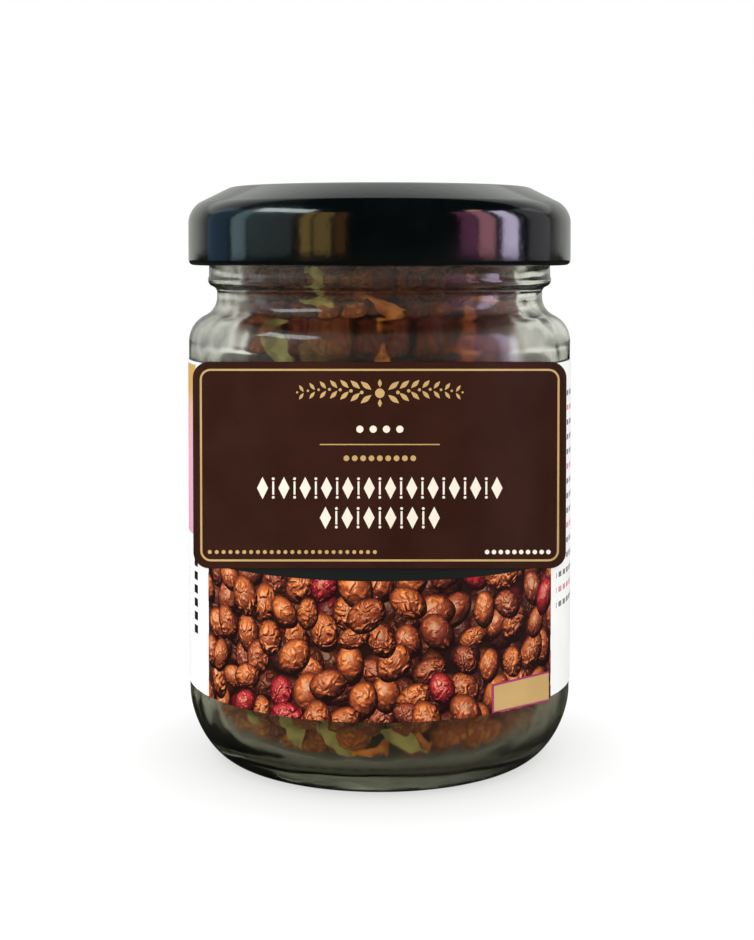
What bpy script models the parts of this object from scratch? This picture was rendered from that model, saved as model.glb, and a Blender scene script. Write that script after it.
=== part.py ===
"""A small glass jar of sun-dried sea buckthorn berries with a twist-off lid.

Metres, +Z up. The origin is the middle of the ring that the jar stands on,
and the front of the label looks along -Y. Run it with
blender --background --python part.py, or from Blender's text editor.
"""

import math
import random

import bmesh
import bpy
from mathutils import Matrix, Vector

# Driving dimensions: a 53 mm twist-off jar of about 140 ml
GLASS_R = 0.02775
WALL = 0.0023
NECK_R = 0.0237
NECK_IN_R = 0.0216
FINISH_R = 0.0242
RIM_Z = 0.0798
LIP_ROUND = 0.0010
MOUTH_ROUND = 0.0007
SHOULDER_Z = 0.0600
SHOULDER_ROUND = 0.0040
SHOULDER_SWEEP = 65
SHOULDER_IN_Z = 0.0589
SHOULDER_IN_ROUND = 0.0040
SHOULDER_IN_SWEEP = 58

# Bead round the neck: its radius and roundings, and heights above the foot of the neck
BEAD_R = 0.0250
BEAD_ROUND = 0.0010
BEAD_HOLLOW = 0.0009
BEAD_FOOT = 0.00065
BEAD_MIDDLE = 0.00245
BEAD_TOP = 0.0046
FINISH_START = 0.0058

# Base: the ring it stands on, the hollow inside that ring, and the floor and heel of the glass
RING_IN_R = 0.0204
RING_OUT_R = 0.0217
HEEL_Z = 0.0094
HEEL_FULLNESS = 1.7
PUNT_Z = 0.0016
PUNT_LINE = ((0.0, 1.0), (0.55, 0.9), (0.946, 0.6))
FLOOR_Z = 0.0034
FLOOR_RISE = 0.0004
FLOOR_R = 0.0200
FLOOR_HEEL_Z = 0.0104

# Lid: lower edge, sizes and the sheet's thickness
LID_Z = 0.07095
LID_R = 0.02780
LID_H = 0.01125
LID_SHEET = 0.0005
LID_SIDE_H = 0.0060
LID_SHOULDER_R = 0.0036
LID_SHOULDER_SWEEP = 59
LID_RIDGE_R = 0.0217
LID_RIDGE_IN_R = 0.0202
LID_PANEL_R = 0.0190
LID_PANEL_DROP = 0.0005
CURL_R = 0.00075
CURL_H = 0.0018
CURL_TUCK = 0.0002
SEAL_IN_R = 0.0214
SEAL_OUT_R = 0.0238
SEAL_SIDE = 0.0002
SEAL_GAP = 0.0003
SEAL_TOP_GAP = 0.0005

# Quarter-turn closure: lugs of the lid under slanted threads of the glass
LUGS = 4
LUG_FIRST = 45
LUG_WIDTH = 14
LUG_IN_R = 0.0249
LUG_LOW = 0.00025
LUG_HIGH = 0.00145
LUG_EDGE = (0.0003, 0.0002)
THREAD_LOW_Z = 0.07275
THREAD_R = 0.0257
THREAD_ROOT = 0.0002
THREAD_EDGE = (0.0004, 0.0004)
THREAD_FLAT = 0.0008
THREAD_HIGH = 0.0017
THREAD_END_PROUD = 0.00015
THREAD_BEFORE = 9
THREAD_AFTER = 56
THREAD_RISE_PER_DEGREE = 0.0011 / 70

# Paper labels
WRAP_R = 0.02787
WRAP_THICK = 0.00015
WRAP_LOW = 0.0111
WRAP_HIGH = 0.0574
WRAP_GAP_FACETS = 2
FRONT_R = 0.02808
FRONT_THICK = 0.00018
FRONT_LOW = 0.0318
FRONT_HIGH = 0.0586
FRONT_HALF_WIDTH = 0.0243
FRONT_CORNER = 0.0021

# The front label is cut with bowed edges, which look straight from this far in front and this high
VIEW_BACK = 0.249
VIEW_UP = 0.0734

# Berries: half axes, and how far their middles stay from the glass
BERRY = (0.0029, 0.0026, 0.0024)
BERRY_STANDOFF = 0.0030
BERRY_ROW = 0.0052
BERRY_PITCH = 0.0062
BERRY_JITTER = 0.08
BERRY_SHIFT = 0.1
FILL_Z = 0.0728
FILL_RISE = 0.0012
PILE_SHOULDER_Z = 0.0500
PILE_NECK_Z = 0.0570
PILE_NECK_R = 0.0208
CORE_INSET = 0.0002
CORE_ROW = 0.0075
WINDOW_LOW = 0.0125
WINDOW_HIGH = 0.0545
GAP_HALF_ANGLE = 12
HIDDEN_SHARE = 8
HIDDEN_TOP_R = 0.0140
SEED = 14

# Scraps of dried leaf among the berries: half axes, and each one's angle from the front and height
SCRAP = (0.0036, 0.0024, 0.0009)
SCRAP_OUT = 0.0012
SCRAP_SPOTS = ((-24, 0.0680), (-30, 0.0648), (2, 0.0626), (36, 0.0613), (9, 0.0088), (-41, 0.0095))

FACETS = 40
CORE_FACETS = 16
STEP = 2 * math.pi / FACETS
CREASE = math.radians(35)
WELD = 1e-6


def clear_scene():
    for item in list(bpy.data.objects):
        bpy.data.objects.remove(item, do_unlink=True)


def finish(name, colour, roughness, metallic=0.0, transmission=0.0):
    """A Principled material in the part's own colour."""
    made = bpy.data.materials.new(name)
    made.use_nodes = True
    shader = made.node_tree.nodes["Principled BSDF"]
    shader.inputs["Base Color"].default_value = (*colour, 1.0)
    shader.inputs["Roughness"].default_value = roughness
    shader.inputs["Metallic"].default_value = metallic
    shader.inputs["Transmission Weight"].default_value = transmission
    made.diffuse_color = (*colour, 1.0)
    return made


def add_object(name, form, material, parent=None):
    """Turns a bmesh into a named object, shaded smooth with its creases kept sharp."""
    mesh = bpy.data.meshes.new(name)
    form.to_mesh(mesh)
    form.free()
    mesh.shade_smooth()
    mesh.set_sharp_from_angle(angle=CREASE)
    mesh.materials.append(material)
    made = bpy.data.objects.new(name, mesh)
    bpy.context.scene.collection.objects.link(made)
    made.parent = parent
    return made


def add_empty(name, place=(0, 0, 0), parent=None):
    made = bpy.data.objects.new(name, None)
    made.location = place
    made.parent = parent
    bpy.context.scene.collection.objects.link(made)
    return made


def arc(centre, radius, start, end, steps):
    """Points on an arc in the plane of radius and height, with angles in degrees."""
    turns = [math.radians(start + (end - start) * i / steps) for i in range(steps + 1)]
    return [(centre[0] + radius * math.cos(t), centre[1] + radius * math.sin(t)) for t in turns]


def heel(low_r, low_z, high_r, high_z, fullness, steps):
    """The round corner between a floor and a wall; a fullness of 2 is a true quarter ellipse."""
    points = []
    for i in range(steps + 1):
        turn = math.pi / 2 * (1 - i / steps)
        out = max(math.cos(turn), 0.0) ** (2 / fullness)
        up = 1 - math.sin(turn) ** (2 / fullness)
        points.append((low_r + (high_r - low_r) * out, low_z + (high_z - low_z) * up))
    return points


def shoulder(body_r, start_z, round_r, sweep, neck_r, steps):
    """Two arcs that meet smoothly and take the wall from the body in to the upright neck."""
    convex = arc((body_r - round_r, start_z), round_r, 0, sweep, steps)
    lean = math.radians(sweep)
    end_r, end_z = convex[-1]
    hollow_r = (end_r - neck_r) / (1 - math.cos(lean))
    centre = (end_r + hollow_r * math.cos(lean), end_z + hollow_r * math.sin(lean))
    return convex + arc(centre, hollow_r, 180 + sweep, 180, steps)[1:]


def offset_line(points, distance):
    """The line moved sideways, to the right of its direction, by the distance."""
    moved = []
    for i, (r, z) in enumerate(points):
        before = points[max(i - 1, 0)]
        after = points[min(i + 1, len(points) - 1)]
        along = Vector((after[0] - before[0], after[1] - before[1])).normalized()
        moved.append((r + along.y * distance, z - along.x * distance))
    return moved


def turned(profile, facets=FACETS):
    """A closed solid of revolution from a profile of (radius, height)."""
    form = bmesh.new()
    verts = [form.verts.new((r, 0, z)) for r, z in profile]
    ends_on_axis = profile[0][0] == 0 and profile[-1][0] == 0
    links = len(verts) - 1 if ends_on_axis else len(verts)
    edges = [form.edges.new((verts[i], verts[(i + 1) % len(verts)])) for i in range(links)]
    bmesh.ops.spin(
        form, geom=verts + edges, cent=(0, 0, 0), axis=(0, 0, 1),
        angle=2 * math.pi, steps=facets, use_merge=True,
    )
    bmesh.ops.remove_doubles(form, verts=form.verts, dist=WELD)
    bmesh.ops.recalc_face_normals(form, faces=form.faces)
    return form


def swept(section, start, sweep, steps, rise=0.0):
    """A closed solid swept about the axis through part of a turn; angles in degrees."""
    form = bmesh.new()
    turn = Matrix.Rotation(math.radians(start), 3, "Z")
    face = form.faces.new([form.verts.new(turn @ Vector((r, 0, z))) for r, z in section])
    bmesh.ops.spin(
        form, geom=[face, *face.edges, *face.verts], cent=(0, 0, 0), axis=(0, 0, 1),
        dvec=(0, 0, rise / steps), angle=math.radians(sweep), steps=steps,
    )
    bmesh.ops.recalc_face_normals(form, faces=form.faces)
    return form


def union(target, pieces, solver="EXACT"):
    """Fuses the pieces into the target for good, and removes them."""
    group = bpy.data.collections.new(target.name + "_pieces")
    bpy.context.scene.collection.children.link(group)
    for piece in pieces:
        bpy.context.scene.collection.objects.unlink(piece)
        group.objects.link(piece)
    join = target.modifiers.new("fuse", "BOOLEAN")
    join.operand_type = "COLLECTION"
    join.collection = group
    join.operation = "UNION"
    join.solver = solver
    bpy.context.view_layer.update()
    graph = bpy.context.evaluated_depsgraph_get()
    fused = bpy.data.meshes.new_from_object(target.evaluated_get(graph))
    target.modifiers.remove(join)
    target.data = fused
    for piece in pieces:
        bpy.data.objects.remove(piece, do_unlink=True)
    bpy.data.collections.remove(group)


def outer_wall():
    """The outside of the jar, from the middle of its base up to the rim."""
    punt = [(RING_IN_R * share, PUNT_Z * height) for share, height in PUNT_LINE]
    foot = heel(RING_OUT_R, 0, GLASS_R, HEEL_Z, HEEL_FULLNESS, 6)
    slope = shoulder(GLASS_R, SHOULDER_Z, SHOULDER_ROUND, SHOULDER_SWEEP, NECK_R, 4)
    neck_z = slope[-1][1]
    hollow = (NECK_R + BEAD_HOLLOW, neck_z + BEAD_FOOT)
    bead_r = BEAD_R - BEAD_ROUND
    under_bead = arc(hollow, BEAD_HOLLOW, 180, 120, 2)
    bead = arc((bead_r, neck_z + BEAD_MIDDLE), BEAD_ROUND, -60, 0, 2)
    over_bead = arc((bead_r, neck_z + BEAD_TOP), BEAD_HOLLOW, 10, 80, 2)
    wall = [(FINISH_R, neck_z + FINISH_START)]
    lip = arc((FINISH_R - LIP_ROUND, RIM_Z - LIP_ROUND), LIP_ROUND, 0, 90, 2)
    return punt + [(RING_IN_R, 0)] + foot + slope + under_bead + bead + over_bead + wall + lip


def inner_wall():
    """The inside of the jar, from the middle of its floor up to the rim."""
    floor = [(0, FLOOR_Z + FLOOR_RISE), (FLOOR_R * 0.5, FLOOR_Z + FLOOR_RISE * 0.75)]
    corner = heel(FLOOR_R, FLOOR_Z, GLASS_R - WALL, FLOOR_HEEL_Z, 2, 4)
    slope = shoulder(
        GLASS_R - WALL, SHOULDER_IN_Z, SHOULDER_IN_ROUND, SHOULDER_IN_SWEEP, NECK_IN_R, 3
    )
    mouth = arc((NECK_IN_R + MOUTH_ROUND, RIM_Z - MOUTH_ROUND), MOUTH_ROUND, 180, 90, 2)
    return floor + corner + slope + mouth


def lug_angles():
    return [LUG_FIRST + 360 / LUGS * i for i in range(LUGS)]


def thread(lug_angle, material):
    """One slanted thread, sunk in the wall, with its crest running out at both ends."""
    root_r = FINISH_R - THREAD_ROOT
    section = [
        (root_r, 0), (THREAD_R - THREAD_EDGE[0], 0), (THREAD_R, THREAD_EDGE[1]),
        (THREAD_R, THREAD_FLAT), (root_r, THREAD_HIGH),
    ]
    sweep = THREAD_BEFORE + THREAD_AFTER
    low = THREAD_LOW_Z - THREAD_BEFORE * THREAD_RISE_PER_DEGREE
    placed = [(r, z + low) for r, z in section]
    start = lug_angle - THREAD_BEFORE
    form = swept(placed, start, sweep, 9, THREAD_RISE_PER_DEGREE * sweep)
    turn_back = Matrix.Rotation(math.radians(-start), 3, "Z")
    for vert in form.verts:
        unturned = turn_back @ vert.co
        share = math.degrees(math.atan2(unturned.y, unturned.x)) / sweep
        radius = unturned.xy.length
        at_end = min(share, 1 - share) < 0.01
        if at_end and radius > root_r + THREAD_ROOT / 2:
            vert.co.xy *= (FINISH_R + THREAD_END_PROUD) / radius
    return add_object("thread", form, material)


def make_glass(material, parent):
    profile = outer_wall() + inner_wall()[::-1]
    jar = add_object("jar_glass", turned(profile), material, parent)
    union(jar, [thread(angle, material) for angle in lug_angles()])
    return jar


def lid_outside():
    """The sheet's outer face, from the top of the curl over the shoulder to the panel's middle."""
    side = [(LID_R, CURL_R), (LID_R, LID_SIDE_H)]
    centre = (LID_R - LID_SHOULDER_R, LID_SIDE_H)
    rounding = arc(centre, LID_SHOULDER_R, 0, LID_SHOULDER_SWEEP, 5)[1:]
    ridge = [(LID_RIDGE_R, LID_H), (LID_RIDGE_IN_R, LID_H)]
    panel = [(LID_PANEL_R, LID_H - LID_PANEL_DROP), (0, LID_H - LID_PANEL_DROP)]
    return side, rounding + ridge, panel


def make_lid(material, parent):
    """The pressed lid: one sheet, rolled in at its edge, with lugs that reach under the threads."""
    side, crown, panel = lid_outside()
    outside = side + crown + panel
    inside = offset_line(side[1:] + crown + panel, -LID_SHEET)
    inside[-1] = (0, LID_H - LID_PANEL_DROP - LID_SHEET)
    inside[0] = (LID_R - LID_SHEET, LID_SIDE_H)
    curl = arc((LID_R - CURL_R, CURL_R), CURL_R, 0, -180, 6)[1:]
    curl += [(LID_R - 2 * CURL_R, CURL_H), (LID_R - LID_SHEET, CURL_H + CURL_TUCK)]
    profile = outside[::-1] + curl + inside
    lid = add_object("lid_shell", turned(profile), material, parent)
    edge_r, edge_z = LUG_EDGE
    lug = [
        (LUG_IN_R, LUG_LOW + edge_z), (LUG_IN_R + edge_r, LUG_LOW), (LID_R - CURL_R, LUG_LOW),
        (LID_R - CURL_R, LUG_HIGH), (LUG_IN_R + edge_r, LUG_HIGH), (LUG_IN_R, LUG_HIGH - edge_z),
    ]
    lugs = []
    for angle in lug_angles():
        form = swept(lug, angle - LUG_WIDTH / 2, LUG_WIDTH, 2)
        lugs.append(add_object("lug", form, material, parent))
    union(lid, lugs)
    return lid


def make_seal(material, parent):
    """The ring of sealing compound under the lid's top, which the rim beds into."""
    low = RIM_Z + SEAL_GAP - LID_Z
    high = LID_H - LID_SHEET - SEAL_TOP_GAP
    profile = [
        (SEAL_IN_R, low), (SEAL_OUT_R, low), (SEAL_OUT_R, low + SEAL_SIDE),
        (LID_RIDGE_R, high), (SEAL_IN_R, high),
    ]
    return add_object("lid_seal", turned(profile), material, parent)


def make_wrap(material, parent):
    """The label round the jar; its two ends leave a narrow strip of glass bare at the back."""
    section = [
        (WRAP_R, WRAP_LOW), (WRAP_R + WRAP_THICK, WRAP_LOW),
        (WRAP_R + WRAP_THICK, WRAP_HIGH), (WRAP_R, WRAP_HIGH),
    ]
    gap = 360 / FACETS * WRAP_GAP_FACETS
    form = swept(section, 90 + gap / 2, 360 - gap, FACETS - WRAP_GAP_FACETS)
    return add_object("label_wrap", form, material, parent)


def on_facets(run, radius):
    """The place round the jar, at an angle from the front, on the flat facets that the glass has."""
    whole = math.floor(run / STEP + WELD)
    share = run / STEP - whole
    corners = [
        Vector((math.sin(k * STEP), -math.cos(k * STEP))) * radius for k in (whole, whole + 1)
    ]
    return corners[0].lerp(corners[1], share)


def seen_width(turn):
    """How far to the side a place round the jar looks from the front, on the label's front plane."""
    front = VIEW_BACK - FRONT_R
    return FRONT_R * math.sin(turn) * front / (VIEW_BACK - FRONT_R * math.cos(turn))


def from_view(x, z):
    """The angle and height on the jar of a place that is drawn on the label's front plane."""
    front = VIEW_BACK - FRONT_R
    ahead, aside = FRONT_R * front, FRONT_R * x
    turn = math.asin(x * VIEW_BACK / math.hypot(ahead, aside)) - math.atan2(aside, ahead)
    away = (VIEW_BACK - FRONT_R * math.cos(turn)) / front
    return turn, VIEW_UP + (z - VIEW_UP) * away


def make_front(material, parent):
    """The front label: a plate with round corners, cut at each facet's edge and bent on to it."""
    form = bmesh.new()
    outline = []
    for side, upper, start in ((1, 1, 0), (-1, 1, 90), (-1, 0, 180), (1, 0, 270)):
        x = side * (FRONT_HALF_WIDTH - FRONT_CORNER)
        z = FRONT_HIGH - FRONT_CORNER if upper else FRONT_LOW + FRONT_CORNER
        for across, up in arc((x, z), FRONT_CORNER, start, start + 90, 3):
            outline.append(form.verts.new((across, 0, up)))
    form.faces.new(outline)
    last = math.floor(from_view(FRONT_HALF_WIDTH, FRONT_LOW)[0] / STEP)
    for k in range(-last, last + 1):
        bmesh.ops.bisect_plane(
            form, geom=[*form.verts, *form.edges, *form.faces], dist=WELD / 10,
            plane_co=(seen_width(k * STEP), 0, 0), plane_no=(1, 0, 0),
        )
    raised = bmesh.ops.extrude_face_region(form, geom=list(form.faces))["geom"]
    for vert in [v for v in raised if isinstance(v, bmesh.types.BMVert)]:
        vert.co.y = FRONT_THICK
    for vert in form.verts:
        turn, height = from_view(vert.co.x, vert.co.z)
        spot = on_facets(turn, FRONT_R + vert.co.y)
        vert.co = (spot.x, spot.y, height)
    bmesh.ops.recalc_face_normals(form, faces=form.faces)
    return add_object("label_front", form, material, parent)


def resampled(points, pitch):
    """Points at an even spacing along a line."""
    lengths = [0.0]
    for a, b in zip(points, points[1:]):
        lengths.append(lengths[-1] + math.dist(a, b))
    count = round(lengths[-1] / pitch)
    spots, k = [], 0
    for i in range(count + 1):
        run = lengths[-1] * i / count
        while lengths[k + 1] < run - 1e-9 and k < len(points) - 2:
            k += 1
        share = (run - lengths[k]) / (lengths[k + 1] - lengths[k])
        spots.append(tuple(a + (b - a) * share for a, b in zip(points[k], points[k + 1])))
    return spots


def pile_outline():
    """Where the outer berries' middles lie: up the glass, in under the shoulder, and over the top."""
    wall = [p for p in inner_wall() if p[1] < PILE_SHOULDER_Z]
    wall += [(GLASS_R - WALL, PILE_SHOULDER_Z), (PILE_NECK_R, PILE_NECK_Z), (PILE_NECK_R, FILL_Z)]
    line = offset_line(wall, -BERRY_STANDOFF)
    line[0] = (0, line[0][1])
    line[-1] = (PILE_NECK_R - BERRY_STANDOFF, FILL_Z)
    return line + [(0, FILL_Z + FILL_RISE)]


def berry(place, facing, size, roll, material):
    """One berry of few facets, its long axis lying along the surface of the pile."""
    form = bmesh.new()
    bmesh.ops.create_icosphere(form, subdivisions=1, radius=1)
    stretch = Matrix.Diagonal((size[2], size[1], size[0], 1))
    spin = Matrix.Rotation(roll, 4, "X")
    out = facing.to_track_quat("X", "Z").to_matrix().to_4x4()
    form.transform(Matrix.Translation(place) @ out @ spin @ stretch)
    return add_object("berry", form, material)


def surface_rows():
    """Rows of places over the pile: radius, height, and how far the surface leans up, in radians."""
    spots = resampled(pile_outline(), BERRY_ROW)
    rows = []
    for row, (r, z) in enumerate(spots):
        before, after = spots[max(row - 1, 0)], spots[min(row + 1, len(spots) - 1)]
        rows.append((r, z, math.atan2(-(after[0] - before[0]), after[1] - before[1])))
    return rows


def on_pile(row, angle, size, roll, material, out_by=0.0):
    """A berry or scrap laid on the pile at a row and an angle, moved out from it if asked."""
    r, z, lean = row
    out = Vector((math.cos(angle), math.sin(angle), 0))
    facing = out * math.cos(lean) + Vector((0, 0, math.sin(lean)))
    place = out * r + Vector((0, 0, z)) + facing * out_by
    return berry(place, facing, size, roll, material)


def is_hidden(r, z, angle):
    """Whether a berry lies behind the label, and not at its gap, or well in under the lid."""
    at_gap = abs(math.degrees(angle) % 360 - 90) < GAP_HALF_ANGLE
    return (WINDOW_LOW < z < WINDOW_HIGH and not at_gap) or (z > FILL_Z and r < HIDDEN_TOP_R)


def make_berries(material, parent):
    """The filling as one pile: berries all over a core that is a little smaller than the hollow."""
    draw = random.Random(SEED)
    core_line = offset_line(resampled(pile_outline(), CORE_ROW), -CORE_INSET)
    core_line[0] = (0, core_line[0][1])
    core_line[-1] = (0, core_line[-1][1])
    pile = add_object("dried_berries", turned(core_line, CORE_FACETS), material, parent)
    pieces = []
    rows = surface_rows()
    for number, row in enumerate(rows):
        around = max(1, round(2 * math.pi * row[0] / BERRY_PITCH))
        start = draw.random()
        for k in range(around):
            angle = 2 * math.pi * (k + start + draw.uniform(-BERRY_SHIFT, BERRY_SHIFT)) / around
            scale = 1 + draw.uniform(-BERRY_JITTER, BERRY_JITTER / 2)
            roll = draw.uniform(0, math.pi)
            if is_hidden(row[0], row[1], angle) and (k + number) % HIDDEN_SHARE:
                continue
            size = [half * scale for half in BERRY]
            pieces.append(on_pile(row, angle, size, roll, material))
    for angle_from_front, height in SCRAP_SPOTS:
        row = min(rows, key=lambda spot: abs(spot[1] - height))
        angle = math.radians(angle_from_front - 90)
        roll = draw.uniform(0, math.pi)
        pieces.append(on_pile(row, angle, SCRAP, roll, material, SCRAP_OUT))
    union(pile, pieces, "MANIFOLD")
    return pile


def main():
    clear_scene()
    glass = finish("clear_glass", (0.83, 0.88, 0.84), 0.05, transmission=1.0)
    black = finish("black_lacquer", (0.012, 0.014, 0.016), 0.22)
    compound = finish("sealing_compound", (0.80, 0.78, 0.72), 0.6)
    paper = finish("printed_paper", (0.86, 0.85, 0.83), 0.45)
    brown = finish("brown_label", (0.045, 0.014, 0.009), 0.4)
    fruit = finish("dried_fruit", (0.42, 0.10, 0.03), 0.5)

    jar = add_empty("jar")
    lid = add_empty("lid", (0, 0, LID_Z), jar)
    make_glass(glass, jar)
    make_wrap(paper, jar)
    make_front(brown, jar)
    make_berries(fruit, jar)
    make_lid(black, lid)
    make_seal(compound, lid)


main()
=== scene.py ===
# %% [markdown]
# A jar of sun-dried sea buckthorn berries
#
# This lesson dresses a small glass jar: clear glass with a rolled neck, a black lacquered twist-off
# lid, a paper label that goes round the jar, a brown label over it, and several hundred dried
# berries inside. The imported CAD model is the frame, and every piece is made to sit on it.

# %% Load the frame and keep its size
import math
import random

import bmesh
import bpy
from mathutils import Matrix, Vector, noise


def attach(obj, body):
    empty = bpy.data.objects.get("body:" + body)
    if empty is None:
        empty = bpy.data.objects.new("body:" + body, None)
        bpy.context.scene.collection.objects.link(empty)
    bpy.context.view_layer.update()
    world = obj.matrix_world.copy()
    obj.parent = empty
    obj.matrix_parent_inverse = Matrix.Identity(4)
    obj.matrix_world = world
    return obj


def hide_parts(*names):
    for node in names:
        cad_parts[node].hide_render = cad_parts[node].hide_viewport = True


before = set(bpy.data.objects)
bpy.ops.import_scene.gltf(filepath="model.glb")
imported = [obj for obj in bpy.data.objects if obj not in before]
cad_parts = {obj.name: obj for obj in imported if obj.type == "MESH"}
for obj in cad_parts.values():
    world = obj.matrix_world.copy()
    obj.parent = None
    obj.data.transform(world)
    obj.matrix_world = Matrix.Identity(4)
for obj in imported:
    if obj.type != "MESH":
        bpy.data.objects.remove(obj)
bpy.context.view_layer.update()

# %% [markdown]
# The camera comes first, because it decides what has to be seen. The photograph was taken from a
# quarter of a metre away, a little below the top of the lid. A slight tilt and a slight shift
# together put the horizon where the picture has it, and keep the jar's sides upright.

# %% Camera at the photograph's viewing angle
PHOTO_SIZE = (754, 940)
FOCAL_PIXELS = 1700
EYE_BACK = 0.249
EYE_UP = 0.0734
EYE_SIDE = -0.00037
TILT_DOWN = 2.0
SHIFT_UP = -0.173

lens = bpy.data.cameras.new("camera")
lens.sensor_width = 36
lens.lens = FOCAL_PIXELS / max(PHOTO_SIZE) * lens.sensor_width
lens.shift_y = SHIFT_UP
lens.clip_start = 0.01
camera = bpy.data.objects.new("camera", lens)
camera.location = (EYE_SIDE, -EYE_BACK, EYE_UP)
camera.rotation_euler = (math.radians(90 - TILT_DOWN), 0, 0)
bpy.context.scene.collection.objects.link(camera)
bpy.context.scene.camera = camera
print("lens in mm:", round(lens.lens, 1))

# %% [markdown]
# Every material is built through one small class. It adds a node and wires what feeds it, does
# arithmetic, blends colours and reads noise, so that each finish below reads as a short recipe.

# %% Helpers for shader nodes
FLOAT, VECTOR = "NodeSocketFloat", "NodeSocketVector"


def opaque(colour):
    """A plain colour gets its alpha; an output is passed on as it is."""
    return (*colour, 1) if isinstance(colour, tuple) else colour


class Nodes:
    """A node tree with short ways to add to it. A feed is another node's output or a plain value."""

    def __init__(self, tree):
        self.tree = tree

    def feed(self, made, feeds):
        for name, value in feeds.items():
            if isinstance(value, bpy.types.NodeSocket):
                self.tree.links.new(value, made.inputs[name])
            else:
                made.inputs[name].default_value = value
        return made.outputs

    def add(self, kind, feeds=None, **settings):
        made = self.tree.nodes.new("ShaderNode" + kind)
        for name, value in settings.items():
            setattr(made, name, value)
        return self.feed(made, feeds or {})

    def use(self, group, **feeds):
        """Places a node group."""
        named = {name.replace("_", " "): value for name, value in feeds.items()}
        return self.add("Group", named, node_tree=group)

    def place(self):
        return self.add("TexCoord")["Object"]

    def attribute(self, name):
        """The three numbers that a mesh carries under a name."""
        return self.split(self.add("Attribute", attribute_name=name)["Vector"])

    def split(self, vector):
        return self.add("SeparateXYZ", {0: vector})

    def combine(self, x=0.0, y=0.0, z=0.0):
        return self.add("CombineXYZ", {"X": x, "Y": y, "Z": z})[0]

    def vector(self, operation, feeds):
        return self.add("VectorMath", feeds, operation=operation)

    def calc(self, operation, *values):
        return self.add("Math", dict(enumerate(values)), operation=operation)[0]

    def times(self, first, *others):
        for other in others:
            first = self.calc("MULTIPLY", first, other)
        return first

    def fade(self, value, low, high, out_low=0.0, out_high=1.0):
        """A value carried smoothly from one range to another."""
        feeds = dict(enumerate((value, low, high, out_low, out_high)))
        return self.add("MapRange", feeds, interpolation_type="SMOOTHSTEP")[0]

    def inside(self, value, low, high, soft=0.15):
        """One where the value lies between two limits."""
        over = self.fade(value, low - soft, low + soft)
        return self.times(over, self.fade(value, high - soft, high + soft, 1.0, 0.0))

    def noise(self, place, scale, detail, **more):
        feeds = {"Vector": place, "Scale": scale, "Detail": detail, **more}
        return self.add("TexNoise", feeds, noise_dimensions="4D" if "W" in more else "3D")["Fac"]

    def blend(self, share, first, second, mode="MIX"):
        """Two colours mixed by a share."""
        feeds = {0: share, 6: opaque(first), 7: opaque(second)}
        return self.add("Mix", feeds, data_type="RGBA", blend_type=mode)[2]

    def ramp(self, value, stops):
        """A colour looked up on a scale of (place, colour)."""
        colour = self.add("ValToRGB", {0: value})[0]
        scale = colour.node.color_ramp
        while len(scale.elements) < len(stops):
            scale.elements.new(0.5)
        for element, (place, stop) in zip(scale.elements, stops):
            element.position = place
            element.color = opaque(stop)
        return colour


def new_material(name, roughness, **plain):
    """A material, its nodes, and its Principled shader with plain values on their own sockets."""
    made = bpy.data.materials.new(name)
    made.use_nodes = True
    nodes, shader = Nodes(made.node_tree), made.node_tree.nodes["Principled BSDF"]
    nodes.feed(shader, {"Roughness": roughness} | {key.replace("_", " "): plain[key] for key in plain})
    return made, nodes, shader


def dress(nodes, shader, colour, height, strength, distance, roughness=None):
    """Feeds a shader its colour, its relief and, where it changes, its roughness."""
    bump = nodes.add("Bump", {"Height": height, "Strength": strength, "Distance": distance})[0]
    nodes.feed(shader, {"Base Color": colour, "Normal": bump})
    if roughness:
        nodes.feed(shader, {"Roughness": roughness})


def new_group(name, inputs, outputs):
    """An empty node group, what it is given as (name, kind, default), and the end that its results go to."""
    tree = bpy.data.node_groups.new(name, "ShaderNodeTree")
    for label, kind, default in inputs:
        socket = tree.interface.new_socket(label, in_out="INPUT", socket_type=kind)
        if default is not None:
            socket.default_value = default
    for label in outputs:
        tree.interface.new_socket(label, in_out="OUTPUT", socket_type=FLOAT)
    return Nodes(tree), tree.nodes.new("NodeGroupInput").outputs, tree.nodes.new("NodeGroupOutput")


# %% [markdown]
# Some effects turn up in several finishes, so each is a node group that is built once. Handling
# leaves faint smudges and fine specks on glass and lacquer. Paper has a soft fibrous grain. What
# is printed round the jar needs to know its angle from the front and its height, and every dried
# berry has folds.

# %% Shared effects as node groups


def build_surface_wear():
    """Broad smudges and fine specks, from the piece's own coordinates."""
    nodes, given, end = new_group(
        "surface_wear", [("Broad Scale", FLOAT, 60.0), ("Fine Scale", FLOAT, 900.0)], ("Smudge", "Speck")
    )
    place = nodes.place()
    smudge = nodes.fade(nodes.noise(place, given["Broad Scale"], 4.0), 0.42, 0.68)
    speck = nodes.fade(nodes.noise(place, given["Fine Scale"], 2.0), 0.60, 0.75)
    nodes.feed(end, {"Smudge": smudge, "Speck": speck})
    return nodes.tree


def build_paper_grain():
    """The height of paper's fibres, and a slight unevenness of its colour."""
    nodes, given, end = new_group("paper_grain", [("Scale", FLOAT, 1.0)], ("Height", "Uneven"))
    place = nodes.place()
    fibre = nodes.noise(place, nodes.times(given["Scale"], 2600.0), 3.0, Distortion=1.5)
    cloud = nodes.noise(place, nodes.times(given["Scale"], 140.0), 3.0)
    nodes.feed(end, {"Height": fibre, "Uneven": cloud})
    return nodes.tree


def build_place_on_label():
    """The angle from the front in degrees, positive to the right, and the height in millimetres."""
    nodes, _, end = new_group("place_on_label", [], ("Angle", "Height"))
    x, y, z = nodes.split(nodes.place())
    angle = nodes.calc("DEGREES", nodes.calc("ARCTAN2", x, nodes.times(y, -1.0)))
    nodes.feed(end, {"Angle": angle, "Height": nodes.times(z, 1000.0)})
    return nodes.tree


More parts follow.
